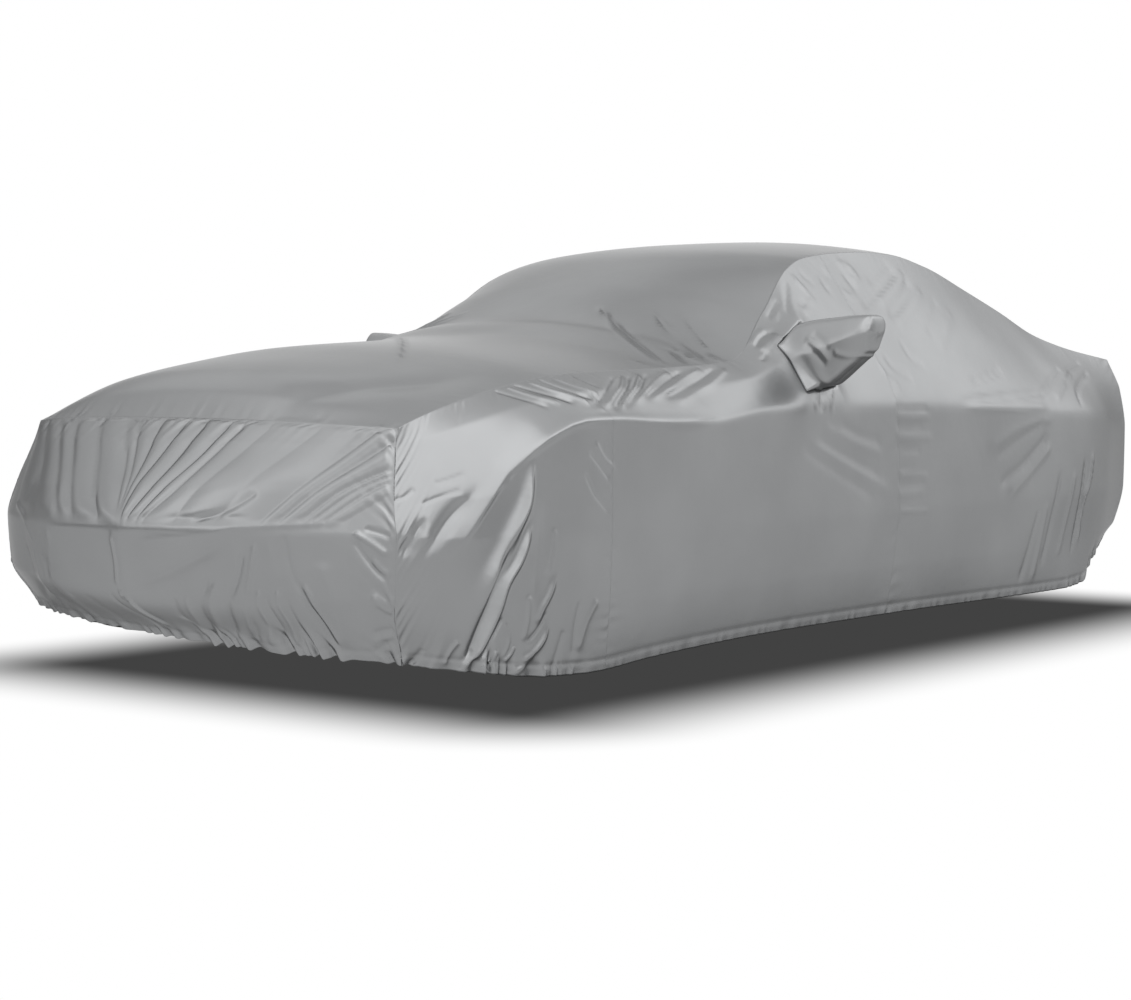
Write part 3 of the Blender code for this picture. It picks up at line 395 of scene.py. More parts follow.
HEM_GATHERS = (
    # y, height, reach above the hem
    (-2.70, 0.0040, 0.15),
    (-2.55, 0.0060, 0.15),
    (-2.38, 0.0060, 0.13),
    (-2.20, 0.0020, 0.09),
    (-2.00, 0.0006, 0.05),
    (0.90, 0.001, 0.05),
    (1.20, 0.003, 0.10),
    (1.70, 0.005, 0.12),
)
SIDE_SEAMS = {
    # panel: sewn edges, those that no fold crosses, then edge, height, slant, reach, pitch for each
    # row of gathers
    "side_front": (("top", "first", "last"), ("top", "first"), (
        ("top", 0.0010, 0.5, 0.030, 0.030),
        ("first", 0.0022, 1.3, 0.045, 0.036),
        ("last", 0.0012, 0.0, 0.030, 0.036),
    )),
    "side_middle": (("top", "first", "last"), ("top",), (
        ("top", 0.0010, -0.5, 0.030, 0.034),
        ("first", 0.0012, 0.0, 0.030, 0.036),
        ("last", 0.0010, 0.0, 0.030, 0.060),
    )),
    "side_rear": (("top", "first", "last"), ("top", "last"), (
        ("top", 0.0008, 0.3, 0.024, 0.040),
        ("first", 0.0012, 0.0, 0.040, 0.060),
        ("last", 0.0020, -0.5, 0.040, 0.050),
    )),
}


EDGE_STEP = 0.0015  # metres from a turned edge to a row inside it, which keeps the turn sharp
SEAM_TURN = ((0.0, -0.004), (0.0, -0.012))  # metres past the edge and out of the cloth, row by row
HEM_TURN = ((0.004, -0.003), (0.003, -0.009), (-0.006, -0.013), (-0.022, -0.012))


def turned_in(points, sign, sewn, hem):
    """The cloth with its edges finished, as rows or columns added to the grid: where it is sewn, 12 mm
    of allowance goes straight in, and where it is hemmed it turns under and back up inside."""
    normals = outwards(points, sign)
    edges = (("top", 0, 0, 1), ("bottom", 0, -1, -2), ("first", 1, 0, 1), ("last", 1, -1, -2))
    for edge, axis, at, next_in in edges:
        if edge not in sewn + hem:
            continue
        rim, out = points.take(at, axis=axis), normals.take(at, axis=axis)
        beyond = unit(rim - points.take(next_in, axis=axis))
        turn = SEAM_TURN if edge in sewn else HEM_TURN
        turned = [rim - beyond * EDGE_STEP, rim] + [rim + beyond * a + out * b for a, b in turn]
        longer = []
        for grid, added in ((points, turned), (normals, [out] * len(turned))):
            added = np.stack(added[::-1] if at == 0 else added, axis=axis)
            rest = np.delete(grid, at, axis=axis)
            longer.append(np.concatenate((added, rest) if at == 0 else (rest, added), axis=axis))
        points, normals = longer
    return points


def cloth_mesh(name, points, sign, hole=None, closed=False):
    """A mesh of four-sided faces over a grid of points, wound to face outwards, less the faces of
    the hole, with the cloth's own metres as its UV map. A closed grid joins its last column to its
    first one."""
    rows, columns = points.shape[:2]
    around = np.arange(columns + closed) % columns
    index = np.arange(rows * columns).reshape(rows, columns)[:, around]
    corner = np.arange(index.size).reshape(index.shape)
    keep = np.ones((rows - 1, len(around) - 1), bool)
    if hole is not None:
        keep[hole] = False
    faces, spots = (
        np.stack([g[:-1, :-1], g[1:, :-1], g[1:, 1:], g[:-1, 1:]], axis=-1)[keep][:, :: int(sign)]
        for g in (index, corner)
    )
    placed = points.reshape(-1, 3) - (0.0, 0.0, ROOF_TOP)
    mesh = bpy.data.meshes.new(name)
    mesh.from_pydata(placed.tolist(), [], faces.tolist())
    away = from_edges(points[:, around])
    metres = np.stack([away["first"].ravel(), away["top"].ravel()], axis=-1)
    flat = mesh.uv_layers.new(name="cloth_metres")
    flat.data.foreach_set("uv", metres[spots.ravel()].ravel())
    mesh.shade_smooth()
    return mesh


def to_linear(code):
    """sRGB hex colour as linear red, green, blue and 1."""
    parts = [int(code[k : k + 2], 16) / 255 for k in (1, 3, 5)]
    return tuple(c / 12.92 if c <= 0.04045 else ((c + 0.055) / 1.055) ** 2.4 for c in parts) + (1.0,)


def add(tree, kind, settings=(), values=(), links=()):
    """A shader node with its settings, its socket values, and the output that is linked to a socket."""
    node = tree.nodes.new(kind)
    for name, value in dict(settings).items():
        setattr(node, name, value)
    for socket, value in dict(values).items():
        node.inputs[socket].default_value = value
    for socket, output in dict(links).items():
        tree.links.new(output, node.inputs[socket])
    return node


def silver_taffeta():
    """Aluminium-pigmented polyurethane, knife-coated on polyester taffeta. It gives the eye a grey
    satin with a soft metal sheen, from nearly white on faces turned to the light to a mid grey beside
    them. Its threads are 0.25 mm apart, and are drawn 2 mm apart, because they would not show."""
    material = bpy.data.materials.new("silver_coated_taffeta")
    material.use_nodes = True
    tree = material.node_tree
    surface = tree.nodes["Principled BSDF"]
    surface.inputs["Roughness"].default_value = 0.32
    surface.inputs["Metallic"].default_value = 0.90
    surface.inputs["IOR"].default_value = 1.5
    surface.inputs["Specular Tint"].default_value = to_linear("#B4B4B4")
    place = add(tree, "ShaderNodeTexCoord")
    cloud = add(tree, "ShaderNodeTexNoise", {}, {"Scale": 2.2, "Detail": 3.0, "Roughness": 0.55},
                {"Vector": place.outputs["Object"]})
    tone = add(tree, "ShaderNodeValToRGB", {}, {}, {"Fac": cloud.outputs["Fac"]})
    tone.color_ramp.elements[0].position, tone.color_ramp.elements[1].position = 0.30, 0.72
    tone.color_ramp.elements[0].color = to_linear("#898A8B")
    tone.color_ramp.elements[1].color = to_linear("#919293")
    tree.links.new(tone.outputs["Color"], surface.inputs["Base Color"])
    metres = add(tree, "ShaderNodeUVMap", {"uv_map": "cloth_metres"})
    spread = add(tree, "ShaderNodeMapping", {}, {"Scale": (500.0, 500.0, 1.0)},
                 {"Vector": metres.outputs["UV"]})
    weave = add(tree, "ShaderNodeTexChecker", {}, {"Scale": 1.0}, {"Vector": spread.outputs["Vector"]})
    rumple = add(tree, "ShaderNodeTexNoise", {}, {"Scale": 26.0, "Detail": 3.0, "Roughness": 0.5},
                 {"Vector": place.outputs["Object"]})
    soft = add(tree, "ShaderNodeBump", {}, {"Strength": 0.12, "Distance": 0.004},
               {"Height": rumple.outputs["Fac"]})
    fine = add(tree, "ShaderNodeBump", {}, {"Strength": 0.05, "Distance": 0.0004},
               {"Height": weave.outputs["Fac"], "Normal": soft.outputs["Normal"]})
    tree.links.new(fine.outputs["Normal"], surface.inputs["Normal"])
    return material


taffeta = silver_taffeta()
CLOTH = 0.0016  # metres thick


def cover_piece(name, mesh):
    """One panel of the cover: cloth that rides on the cover and stands for its solid."""
    mesh.materials.append(taffeta)
    piece = bpy.data.objects.new(name + "_cloth", mesh)
    bpy.context.scene.collection.objects.link(piece)
    wall = piece.modifiers.new("cloth", "SOLIDIFY")
    wall.thickness, wall.offset = CLOTH, -1.0
    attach(piece, "root")
    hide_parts(name)


HOLE_ROWS = (0.66, 1.70)  # row values of the hole that the mirror pocket is sewn over, and its y
HOLE_Y = (-0.915, -0.72)
ROW_METRES = 0.16  # cloth between two guide lines there
DRAWN_OUT = 0.020  # metres that the pocket draws the side out at the hole, and how far from it that fades
DRAWN_REACH = 0.055


def drawn_out(y, rows):
    """How far the pocket draws the side out: DRAWN_OUT times exp(-t^1.3), with t the distance from
    the hole's oblong over the reach."""
    beside = np.maximum(np.abs(y - np.mean(HOLE_Y)) - np.ptp(HOLE_Y) / 2, 0)
    above = np.maximum(np.abs(rows - np.mean(HOLE_ROWS)) - np.ptp(HOLE_ROWS) / 2, 0) * ROW_METRES
    return DRAWN_OUT * np.exp(-((np.hypot(beside, above[:, None]) / DRAWN_REACH) ** 1.3))


SIDE_PANELS = (
    # panel, y from, to, spread, columns near, far, rows near, far, flat width, length, area
    ("side_front", -2.70, -1.98, 1.25, 180, 60, (26, 44), (9, 20), 0.86, 0.80, 0.66),
    ("side_middle", -1.98, -0.34, 1.0, 180, 108, (18, 26), (12, 18), 1.64, 1.30, 1.69),
    ("side_rear", -0.34, 1.70, 1.0, 190, 136, (18, 26), (12, 18), 2.12, 1.30, 2.46),
)
rims = {}
for side, letter, folds in ((1.0, "l", NEAR_FOLDS), (-1.0, "r", FAR_FOLDS)):
    for panel, start, end, spread, near, far, near_rows, far_rows, width, length, area in SIDE_PANELS:
        y = start + (end - start) * np.linspace(0, 1, (near if side > 0 else far) + 1) ** spread
        rows = rows_of(*(near_rows if side > 0 else far_rows))
        base = side_cloth(y, rows, side)
        sewn, pinned, gathers = SIDE_SEAMS[panel]
        cloth = folded(base, side, (1, 2), folds, pinned)
        more = seam_puckers(cloth, gathers, 1.0 + side)
        more = more + hem_gathers(cloth, base[..., 1], HEM_GATHERS, 0.6 * side)
        cloth = raised(cloth, side, more)
        hole = None
        if panel == "side_middle":
            cloth = raised(cloth, side, drawn_out(base[..., 1], rows))
            r0, r1 = (int(np.abs(rows - r).argmin()) for r in HOLE_ROWS)
            c0, c1 = (int(np.abs(y - at).argmin()) for at in HOLE_Y)
            rims[letter] = np.concatenate([cloth[r0, c0:c1], cloth[r0:r1, c1], cloth[r1, c1:c0:-1],
                                           cloth[r1:r0:-1, c0]])
            added = len(SEAM_TURN) + 1  # rows and columns that are turned in ahead of the first
            hole = (slice(r0 + added, r1 + added), slice(c0 + added, c1 + added))
        mesh = cloth_mesh(panel, turned_in(cloth, side, sewn, ("bottom",)), side, hole)
        cover_piece(f"{panel}_{letter}", mesh)

# Mirror pockets: a cup of the same taffeta on each side, cut as two darted halves and sewn round
# the hole in the side. It is tight over its face and end, and slack beneath.
POCKET_RINGS = (
    # x, y front, rear, z top, bottom of each ring from the hole to the end
    (0.888, -0.908, -0.705, 1.130, 0.930),
    (0.918, -0.900, -0.705, 1.142, 0.934),
    (0.950, -0.891, -0.705, 1.149, 0.948),
    (1.000, -0.880, -0.705, 1.155, 0.980),
    (1.050, -0.866, -0.708, 1.161, 1.012),
    (1.086, -0.848, -0.712, 1.162, 1.036),
    (1.100, -0.832, -0.718, 1.154, 1.050),
    (1.105, -0.802, -0.746, 1.130, 1.074),
)
POCKET_TIP = (1.106, -0.775, 1.102)
POCKET_KNOTS = (0.0, 0.5, 1.0, 1.5, 2.2, 2.9, 3.5, 3.8, 4.1, 4.4)  # of the rim, the rings and the tip
POCKET_ROWS = 61
POCKET_LEAN = 0.052  # metres that its face is set back from the middle to the top
LEAN_LENGTH = 0.10  # half length of a ring from which that lean is whole
SQUARENESS = 5.0
SLOPED_RINGS = 5  # rings over which the slope of the side fades out of it
KEEL_SHARE = 0.26  # share of its length that the bag loses towards the bottom
KEEL_IN = 0.010  # metres that it draws in there
POCKET_FOLDS = (
    # path as x, z above the floor, width at start, at end, height, bias
    (((0.895, 1.090), (0.945, 1.057), (0.982, 1.015)), 0.014, 0.018, 0.0055, 0.0),
    (((0.912, 1.103), (0.952, 1.080), (0.986, 1.047)), 0.012, 0.014, -0.0030, 0.0),
    (((1.090, 1.151), (1.098, 1.096), (1.091, 1.048)), 0.008, 0.008, -0.0020, 0.0),
    (((1.099, 1.144), (1.104, 1.096), (1.094, 1.048)), 0.008, 0.008, 0.0015, 0.0),
    (((0.996, 1.041), (1.046, 1.028), (1.077, 1.035)), 0.012, 0.012, 0.0040, 0.0),
    (((0.899, 1.064), (0.935, 1.041), (0.971, 0.996)), 0.014, 0.014, -0.0035, 0.0),
)
SLACK = (-0.030, 0.82)  # the far pocket's fall in metres and its share of the near one's height


def pocket_cloth(rim, side):
    """Rings from the hole's rim to the tip, with a smooth curve through them: each is a rounded
    oblong, |a|^n + |b|^n = 1 with n the squareness, at the angle of the rim's points round their
    middle, and below its middle it shortens towards the keel. Built for the near side and mirrored
    for the far one."""
    rim = rim * (side, 1.0, 1.0)
    middle = rim.mean(axis=0)
    angle = np.arctan2(rim[:, 2] - middle[2], rim[:, 1] - middle[1])
    radius = (np.abs(np.cos(angle)) ** SQUARENESS + np.abs(np.sin(angle)) ** SQUARENESS) ** (-1 / SQUARENESS)
    along, up = np.cos(angle) * radius, np.sin(angle) * radius
    back = POCKET_LEAN * np.maximum(up, 0) * np.clip(-along, 0, 1)
    keel = ease(0.3, -1.0, up)
    fall, share = (0.0, 1.0) if side > 0 else SLACK
    rings = [rim]
    for k, (x, front, rear, top, bottom) in enumerate(POCKET_RINGS):
        length, height = (rear - front) / 2, (top - bottom) / 2 * share
        x = x + (rim[:, 0] - middle[0]) * max(0.0, 1 - k / SLOPED_RINGS) - KEEL_IN * keel
        y = (front + rear) / 2 + length * along * (1 - KEEL_SHARE * keel)
        y = y + back * min(1, length / LEAN_LENGTH)
        z = (top + bottom) / 2 + fall + height * up
        rings.append(np.stack([x, y, z], axis=-1))
    rings.append(np.tile(POCKET_TIP, (len(rim), 1)) + (0.0, 0.0, fall))
    grid = smooth(POCKET_KNOTS, np.array(rings), np.linspace(0, POCKET_KNOTS[-1], POCKET_ROWS))
    if side > 0:
        grid = folded(grid, 1.0, (0, 2), POCKET_FOLDS, ("top",))
    return grid * (side, 1.0, 1.0)


for side, letter in ((1.0, "l"), (-1.0, "r")):
    mesh = cloth_mesh("mirror_pocket", pocket_cloth(rims[letter], side), side, closed=True)
    cover_piece(f"mirror_pocket_{letter}", mesh)

# Top strip: one length of taffeta over bonnet, windscreen, roof, rear window and boot, sewn to the
# sides, the nose and the tail. The bonnet and the screen draw it into a few long soft ridges.
TOP_FOLDS = (
    # path as x, y, width at start, at end, height, bias, and for some the ends
    (((0.260, -1.170), (0.516, -1.337), (0.737, -1.461)), 0.012, 0.012, 0.0072, 0.0),
    (((0.300, -1.180), (0.535, -1.320), (0.744, -1.434)), 0.011, 0.011, -0.0039, 0.0),
    (((0.426, -1.117), (0.600, -1.201), (0.770, -1.286)), 0.011, 0.011, 0.0072, 0.0),
    (((0.434, -1.094), (0.594, -1.159), (0.770, -1.253)), 0.010, 0.010, -0.0039, 0.0),
    (((0.516, -1.073), (0.647, -1.127), (0.783, -1.205)), 0.010, 0.010, 0.0059, 0.0),
    (((0.628, -1.295), (0.691, -1.317), (0.758, -1.346)), 0.008, 0.008, -0.0046, 0.0),
    (((0.625, -1.269), (0.699, -1.284), (0.749, -1.289)), 0.007, 0.007, 0.0033, 0.0),
    (((0.675, -1.530), (0.706, -1.531), (0.737, -1.520)), 0.009, 0.009, 0.0033, 0.0),
    (((0.344, -2.792), (0.416, -2.734), (0.480, -2.661), (0.550, -2.551), (0.624, -2.379),
      (0.650, -2.180)),
     0.105, 0.090, -0.0110, 0.0, (0.12, 0.4)),
    (((-0.292, -1.530), (0.338, -2.222), (0.477, -2.394)), 0.015, 0.015, 0.0033, 0.0),
    (((-0.264, -1.193), (-0.502, -1.348), (-0.735, -1.460)), 0.015, 0.020, 0.0075, 0.0),
    (((-0.400, -1.126), (-0.597, -1.230), (-0.750, -1.317)), 0.015, 0.018, 0.0070, 0.0),
    (((-0.520, -1.085), (-0.636, -1.155), (-0.752, -1.221)), 0.013, 0.015, 0.0061, 0.0),
)
TOP_SEAMS = (
    # edge, height, slant, reach, pitch of its gathers
    ("top", 0.0008, 0.5, 0.025, 0.034),
    ("bottom", 0.0008, 0.5, 0.025, 0.034),
    ("first", 0.0035, 0.0, 0.030, 0.034),
    ("last", 0.0015, 0.0, 0.025, 0.040),
)


def top_cloth(y, u):
    """The strip as x, y, z over a row for each u across and a column for each y along the seam:
    x = u times the seam's half breadth, and the middle stands bow ahead of the seam and crown
    above it, by 1 - |u| to the power FULLNESS."""
    stations = np.array(STATIONS)
    x, z, bow, crown = smooth(stations[:, 0], stations[:, (1, 2, 13, 14)], y).T
    middle = (1 - np.abs(u) ** FULLNESS)[:, None]
    along = y + corner_slant(y)[0] - bow * middle
    return lean(np.stack([u[:, None] * x, along, z + crown * middle], axis=-1))


y = np.concatenate([
    np.linspace(-2.70, -2.30, 40, endpoint=False),
    np.linspace(-2.30, -0.30, 150, endpoint=False),
    np.linspace(-0.30, 1.70, 101),
])
sewn = ("top", "bottom", "first", "last")
cloth = folded(top_cloth(y, np.linspace(-1, 1, 121)), 1.0, (0, 1), TOP_FOLDS, sewn)
cloth = raised(cloth, 1.0, seam_puckers(cloth, TOP_SEAMS, 0.4))
cover_piece("top_panel", cloth_mesh("top_panel", turned_in(cloth, 1.0, sewn, ()), 1.0))

# Nose panel: taffeta sewn to the strip along the bonnet's edge and to the sides at the corners. It
# is tented from the edge to two hard points, from which tight folds fan out, and its hem is gathered.
NOSE = (
    # y at the corner seam, how far the middle stands ahead of it, and above it, on each guide line
    (-2.690, 0.15, 0.022),
    (-2.708, 0.20, 0.010),
    (-2.752, 0.25, 0.000),
    (-2.770, 0.28, 0.000),
    (-2.764, 0.25, 0.000),
    (-2.692, 0.17, 0.004),
)
NOSE_FOLDS = (
    # path as x, z above the floor, width at start, at end, height, bias, and for some the ends
    (((0.475, 0.661), (0.417, 0.615), (0.307, 0.574)), 0.022, 0.018, -0.0060, -0.3),
    (((0.038, 0.546), (0.251, 0.554), (0.435, 0.562), (0.590, 0.570), (0.690, 0.578)),
     0.016, 0.016, 0.0050, 0.2),
    (((0.200, 0.580), (0.340, 0.588), (0.499, 0.590)), 0.022, 0.026, -0.0050, -0.2, (0.3, 0.3)),
    (((0.451, 0.540), (0.340, 0.485), (0.209, 0.429), (0.054, 0.385)),
     0.026, 0.034, -0.0060, 0.3, (0.3, 0.3)),
    (((0.434, 0.554), (0.313, 0.534), (0.136, 0.516)), 0.013, 0.022, 0.0042, 0.0),
    (((0.034, 0.537), (0.038, 0.461), (0.023, 0.380)), 0.011, 0.011, 0.0056, -0.5),
    (((0.020, 0.374), (0.062, 0.332), (0.062, 0.257)), 0.009, 0.012, 0.0073, 0.0),
    (((-0.018, 0.360), (-0.001, 0.314), (0.012, 0.250)), 0.017, 0.023, -0.0028, 0.0),
    (((-0.287, 0.540), (-0.300, 0.451), (-0.323, 0.360)), 0.011, 0.013, 0.0042, 0.4),
    (((-0.273, 0.538), (-0.106, 0.545), (0.030, 0.548)), 0.016, 0.016, 0.0025, 0.2),
    (((-0.241, 0.351), (-0.281, 0.290), (-0.288, 0.238)), 0.018, 0.023, 0.0047, 0.0),
    (((-0.297, 0.340), (-0.334, 0.279), (-0.332, 0.241)), 0.017, 0.023, -0.0028, 0.0),
    (((-0.134, 0.352), (-0.138, 0.302), (-0.152, 0.237)), 0.022, 0.032, -0.0024, 0.0),
    (((-0.411, 0.465), (-0.404, 0.344), (-0.468, 0.261)), 0.012, 0.017, 0.0073, 0.0),
    (((-0.355, 0.469), (-0.320, 0.370), (-0.395, 0.280)), 0.013, 0.020, -0.0036, 0.0),
    (((-0.515, 0.482), (-0.463, 0.390), (-0.584, 0.288)), 0.020, 0.026, -0.0036, 0.0),
    (((-0.627, 0.594), (-0.480, 0.544), (-0.393, 0.475)), 0.013, 0.013, 0.0049, 0.0),
    (((0.463, 0.513), (0.435, 0.422), (0.383, 0.335), (0.274, 0.220)), 0.010, 0.013, -0.0066, 0.0),
    (((0.492, 0.528), (0.471, 0.445), (0.446, 0.361), (0.355, 0.238)), 0.011, 0.013, 0.0056, 0.0),
    (((0.354, 0.422), (0.294, 0.331), (0.191, 0.218)), 0.012, 0.020, -0.0048, 0.0),
    (((0.374, 0.414), (0.325, 0.326), (0.226, 0.222)), 0.014, 0.019, 0.0060, 0.0),
    (((0.232, 0.357), (0.181, 0.287)), 0.012, 0.020, -0.0036, 0.0),
    (((0.284, 0.377), (0.240, 0.304), (0.150, 0.222)), 0.014, 0.019, 0.0047, 0.0),
    (((0.465, 0.392), (0.428, 0.325), (0.361, 0.223)), 0.012, 0.018, -0.0040, 0.0),
    (((0.505, 0.385), (0.489, 0.304), (0.452, 0.219)), 0.013, 0.020, -0.0048, 0.0),
    (((0.487, 0.396), (0.466, 0.310), (0.405, 0.222)), 0.012, 0.017, 0.0053, 0.0),
    (((0.555, 0.386), (0.540, 0.306), (0.505, 0.216)), 0.012, 0.020, -0.0045, 0.0),
    (((0.533, 0.397), (0.524, 0.312), (0.489, 0.222)), 0.011, 0.016, 0.0053, 0.0),
    (((0.573, 0.431), (0.596, 0.365), (0.606, 0.297), (0.599, 0.220)), 0.012, 0.020, -0.0060, 0.2),
    (((0.593, 0.415), (0.613, 0.354), (0.618, 0.285), (0.620, 0.221)), 0.009, 0.014, 0.0066, 0.0),
    (((0.525, 0.545), (0.525, 0.485), (0.538, 0.414)), 0.026, 0.028, 0.0040, 0.0, (0.4, 0.2)),
    (((0.563, 0.545), (0.567, 0.474), (0.579, 0.409)), 0.011, 0.011, -0.0042, 0.0),
    (((0.638, 0.476), (0.658, 0.367), (0.626, 0.221)), 0.033, 0.037, 0.0056, 0.0),
    (((0.713, 0.552), (0.751, 0.523), (0.790, 0.485)), 0.009, 0.013, 0.0105, 0.2),
    (((0.737, 0.563), (0.766, 0.552), (0.798, 0.539)), 0.011, 0.011, -0.0070, 0.0),
    (((0.713, 0.533), (0.737, 0.487), (0.767, 0.438), (0.786, 0.422)), 0.011, 0.011, -0.0070, 0.0),
    (((0.754, 0.476), (0.771, 0.449), (0.792, 0.433)), 0.011, 0.012, 0.0047, 0.0),
    (((0.747, 0.381), (0.765, 0.348), (0.785, 0.329)), 0.011, 0.014, 0.0053, 0.0),
    (((0.751, 0.348), (0.766, 0.329), (0.778, 0.314)), 0.009, 0.011, -0.0034, 0.0),
    (((0.748, 0.406), (0.770, 0.379), (0.791, 0.362)), 0.011, 0.012, -0.0034, 0.0),
    (((0.719, 0.271), (0.745, 0.280), (0.771, 0.286)), 0.009, 0.011, -0.0034, 0.0),
    (((0.709, 0.250), (0.742, 0.260), (0.768, 0.269)), 0.009, 0.011, 0.0033, 0.0),
    (((0.696, 0.218), (0.731, 0.236), (0.758, 0.254)), 0.011, 0.012, -0.0028, 0.0),
)
NOSE_PLATE = (
    # x and how far the cloth is tented there
    (-0.50, 0.0),
    (-0.27, 0.030),
    (0.06, 0.046),
    (0.42, 0.030),
    (0.70, 0.0),
)
PLEAT_RISE = 0.30  # height of the fullest pleat as a share of a narrow gap
WIDE_GAP = 0.07  # metres between two lines at which that share is halved
PLEAT_LEVELS = (0.58, 0.66, 0.74, 0.82)
PLEAT_VALLEYS = (
    # x of each pinched line at those heights, and how full the pleat to its right is
    (-0.620, -0.660, -0.700, -0.740, 0.30),
    (-0.400, -0.460, -0.540, -0.640, 0.25),
    (-0.230, -0.320, -0.418, -0.515, 0.35),
    (-0.158, -0.237, -0.330, -0.412, 0.50),
    (-0.033, -0.113, -0.193, -0.272, 0.60),
    (0.050, 0.005, -0.060, -0.137, 0.55),
    (0.056, 0.030, -0.028, -0.085, 0.60),
    (0.060, 0.045, 0.022, -0.003, 0.80),
    (0.066, 0.066, 0.076, 0.090, 1.00),
    (0.092, 0.127, 0.150, 0.166, 0.90),
    (0.128, 0.176, 0.222, 0.254, 0.90),
    (0.152, 0.224, 0.264, 0.300, 0.35),
    (0.252, 0.294, 0.342, 0.390, 0.30),
    (0.380, 0.425, 0.480, 0.540, 0.30),
    (0.503, 0.562, 0.627, 0.694, 0.80),
    (0.547, 0.609, 0.688, 0.770, 0.90),
    (0.598, 0.669, 0.800, 0.930, 0.95),
    (0.624, 0.699, 0.840, 0.980, 0.80),
    (0.650, 0.730, 0.880, 1.030, 0.70),
    (0.690, 0.790, 0.930, 1.070, 0.00),
)
NOSE_SEAMS = (("first", 0.0030, 0.8, 0.040, 0.042), ("last", 0.0030, 0.8, 0.040, 0.042))
NOSE_RUFFLES = (("top", 0.0040, 0.1, 0.040, 0.034),)
NOSE_HEM = (
    # x, height, reach above the hem
    (-0.8, 0.004, 0.10),
    (0.0, 0.002, 0.08),
    (0.1, 0.004, 0.16),
    (0.6, 0.006, 0.18),
    (0.8, 0.005, 0.12),
)


def prow(cloth):
    """The flat plate in the nose: a tent over sharp upright folds at the knots' x, straight between
    them. It fades out above the hem, and runs back to the top seam from the crease along z = 0.55, or
    on the driver's side from a line that climbs from there to z = 0.67."""
    x, _, z = np.moveaxis(cloth, -1, 0)
    knots = np.array(NOSE_PLATE)
    line = 0.55 + ease(0.08, 0.34, x) * (0.07 + 0.05 * ease(0.30, 0.50, x))
    return np.interp(x, knots[:, 0], knots[:, 1]) * ease(0.24, 0.38, z) * ease(0.80, line, z)


def pleats(cloth):
    """Tight pleats above the crease: between two pinched lines the cloth rises in a sine arch, which
    is the pleat's fullness times PLEAT_RISE times the gap, and less where the gap is wide."""
    x, _, z = np.moveaxis(cloth, -1, 0)
    table = np.array(PLEAT_VALLEYS)
    lines = smooth(PLEAT_LEVELS, table[:, :4].T, z.ravel()).reshape(z.shape + (len(table),))
    before = np.clip((lines < x[..., None]).sum(axis=-1) - 1, 0, len(table) - 2)[..., None]
    left = np.take_along_axis(lines, before, -1)[..., 0]
    gap = np.take_along_axis(lines, before + 1, -1)[..., 0] - left
    share = np.clip((x - left) / gap, 0, 1)
    rise = PLEAT_RISE * table[before[..., 0], 4] * gap / (1 + gap / WIDE_GAP)
    return rise * np.sin(math.pi * share**0.8) * ease(0.555, 0.60, z)


def end_cloth(ends, station, way, u, rows):
    """The nose (way -1) or the tail (way 1) over a row for each row value and a column for each u:
    x = u times the half breadth, y = the corner seam's y plus way times bow, and z the guide's
    height plus rise, both times 1 - |u| to the power FULLNESS."""
    guides = np.arange(float(GUIDES))
    table = np.column_stack([station[1:13:2], station[2:13:2], np.array(ends)])
    half, z, y, bow, rise = relax(smooth(guides, table, rows, TIGHTNESS), 3).T[:, :, None]
    middle = 1 - np.abs(u) ** FULLNESS
    return lean(np.stack([half * u, y + way * bow * middle, z + rise * middle], axis=-1))


u = np.concatenate([np.linspace(-1, -0.1, 50, endpoint=False), np.linspace(-0.1, 1, 270)])
sewn = ("top", "first", "last")
cloth = end_cloth(NOSE, STATIONS[0], -1, u, rows_of(30, 27))
cloth = raised(cloth, 1.0, prow(cloth))
cloth = raised(cloth, 1.0, pleats(cloth) * held(cloth, sewn, 0.026))
cloth = folded(cloth, 1.0, (0, 2), NOSE_FOLDS, sewn)
ruffles = seam_puckers(cloth, NOSE_RUFFLES, 2.2) * (0.25 + 0.75 * ease(0.40, 0.15, cloth[..., 0]))
more = seam_puckers(cloth, NOSE_SEAMS, 0.9) + ruffles + hem_gathers(cloth, cloth[..., 0], NOSE_HEM, 0.3)
points = turned_in(raised(cloth, 1.0, more), 1.0, sewn, ("bottom",))
cover_piece("front_panel", cloth_mesh("front_panel", points, 1.0))

# Tail panel: the same at the back, nearly flat, with a few folds that fall to the gathered hem.
TAIL = (
    # y at the corner seam, how far the middle stands behind it, and above it, on each guide line
    (1.725, 0.15, 0.030),
    (1.760, 0.16, 0.018),
    (1.775, 0.17, 0.000),
    (1.765, 0.17, 0.000),
    (1.700, 0.15, 0.000),
    (1.600, 0.11, -0.010),
)
TAIL_FOLDS = (
    # path as x, z above the floor, width at start, at end, height, bias
    (((-0.200, 0.850), (-0.330, 0.680), (-0.500, 0.500)), 0.030, 0.060, 0.0084, 0.0),
    (((0.350, 0.750), (0.290, 0.520), (0.250, 0.290)), 0.026, 0.050, 0.0084, 0.0),
    (((-0.100, 0.480), (-0.130, 0.360), (-0.140, 0.260)), 0.024, 0.036, -0.0084, 0.0),
    (((0.560, 0.900), (0.600, 0.660), (0.560, 0.400)), 0.020, 0.034, -0.0070, 0.0),
    (((-0.600, 0.860), (-0.560, 0.600), (-0.600, 0.360)), 0.020, 0.034, 0.0070, 0.0),
    (((0.100, 0.600), (0.080, 0.420), (0.100, 0.270)), 0.018, 0.030, 0.0063, 0.0),
    (((-0.380, 0.500), (-0.340, 0.380), (-0.350, 0.270)), 0.018, 0.030, 0.0063, 0.0),
)
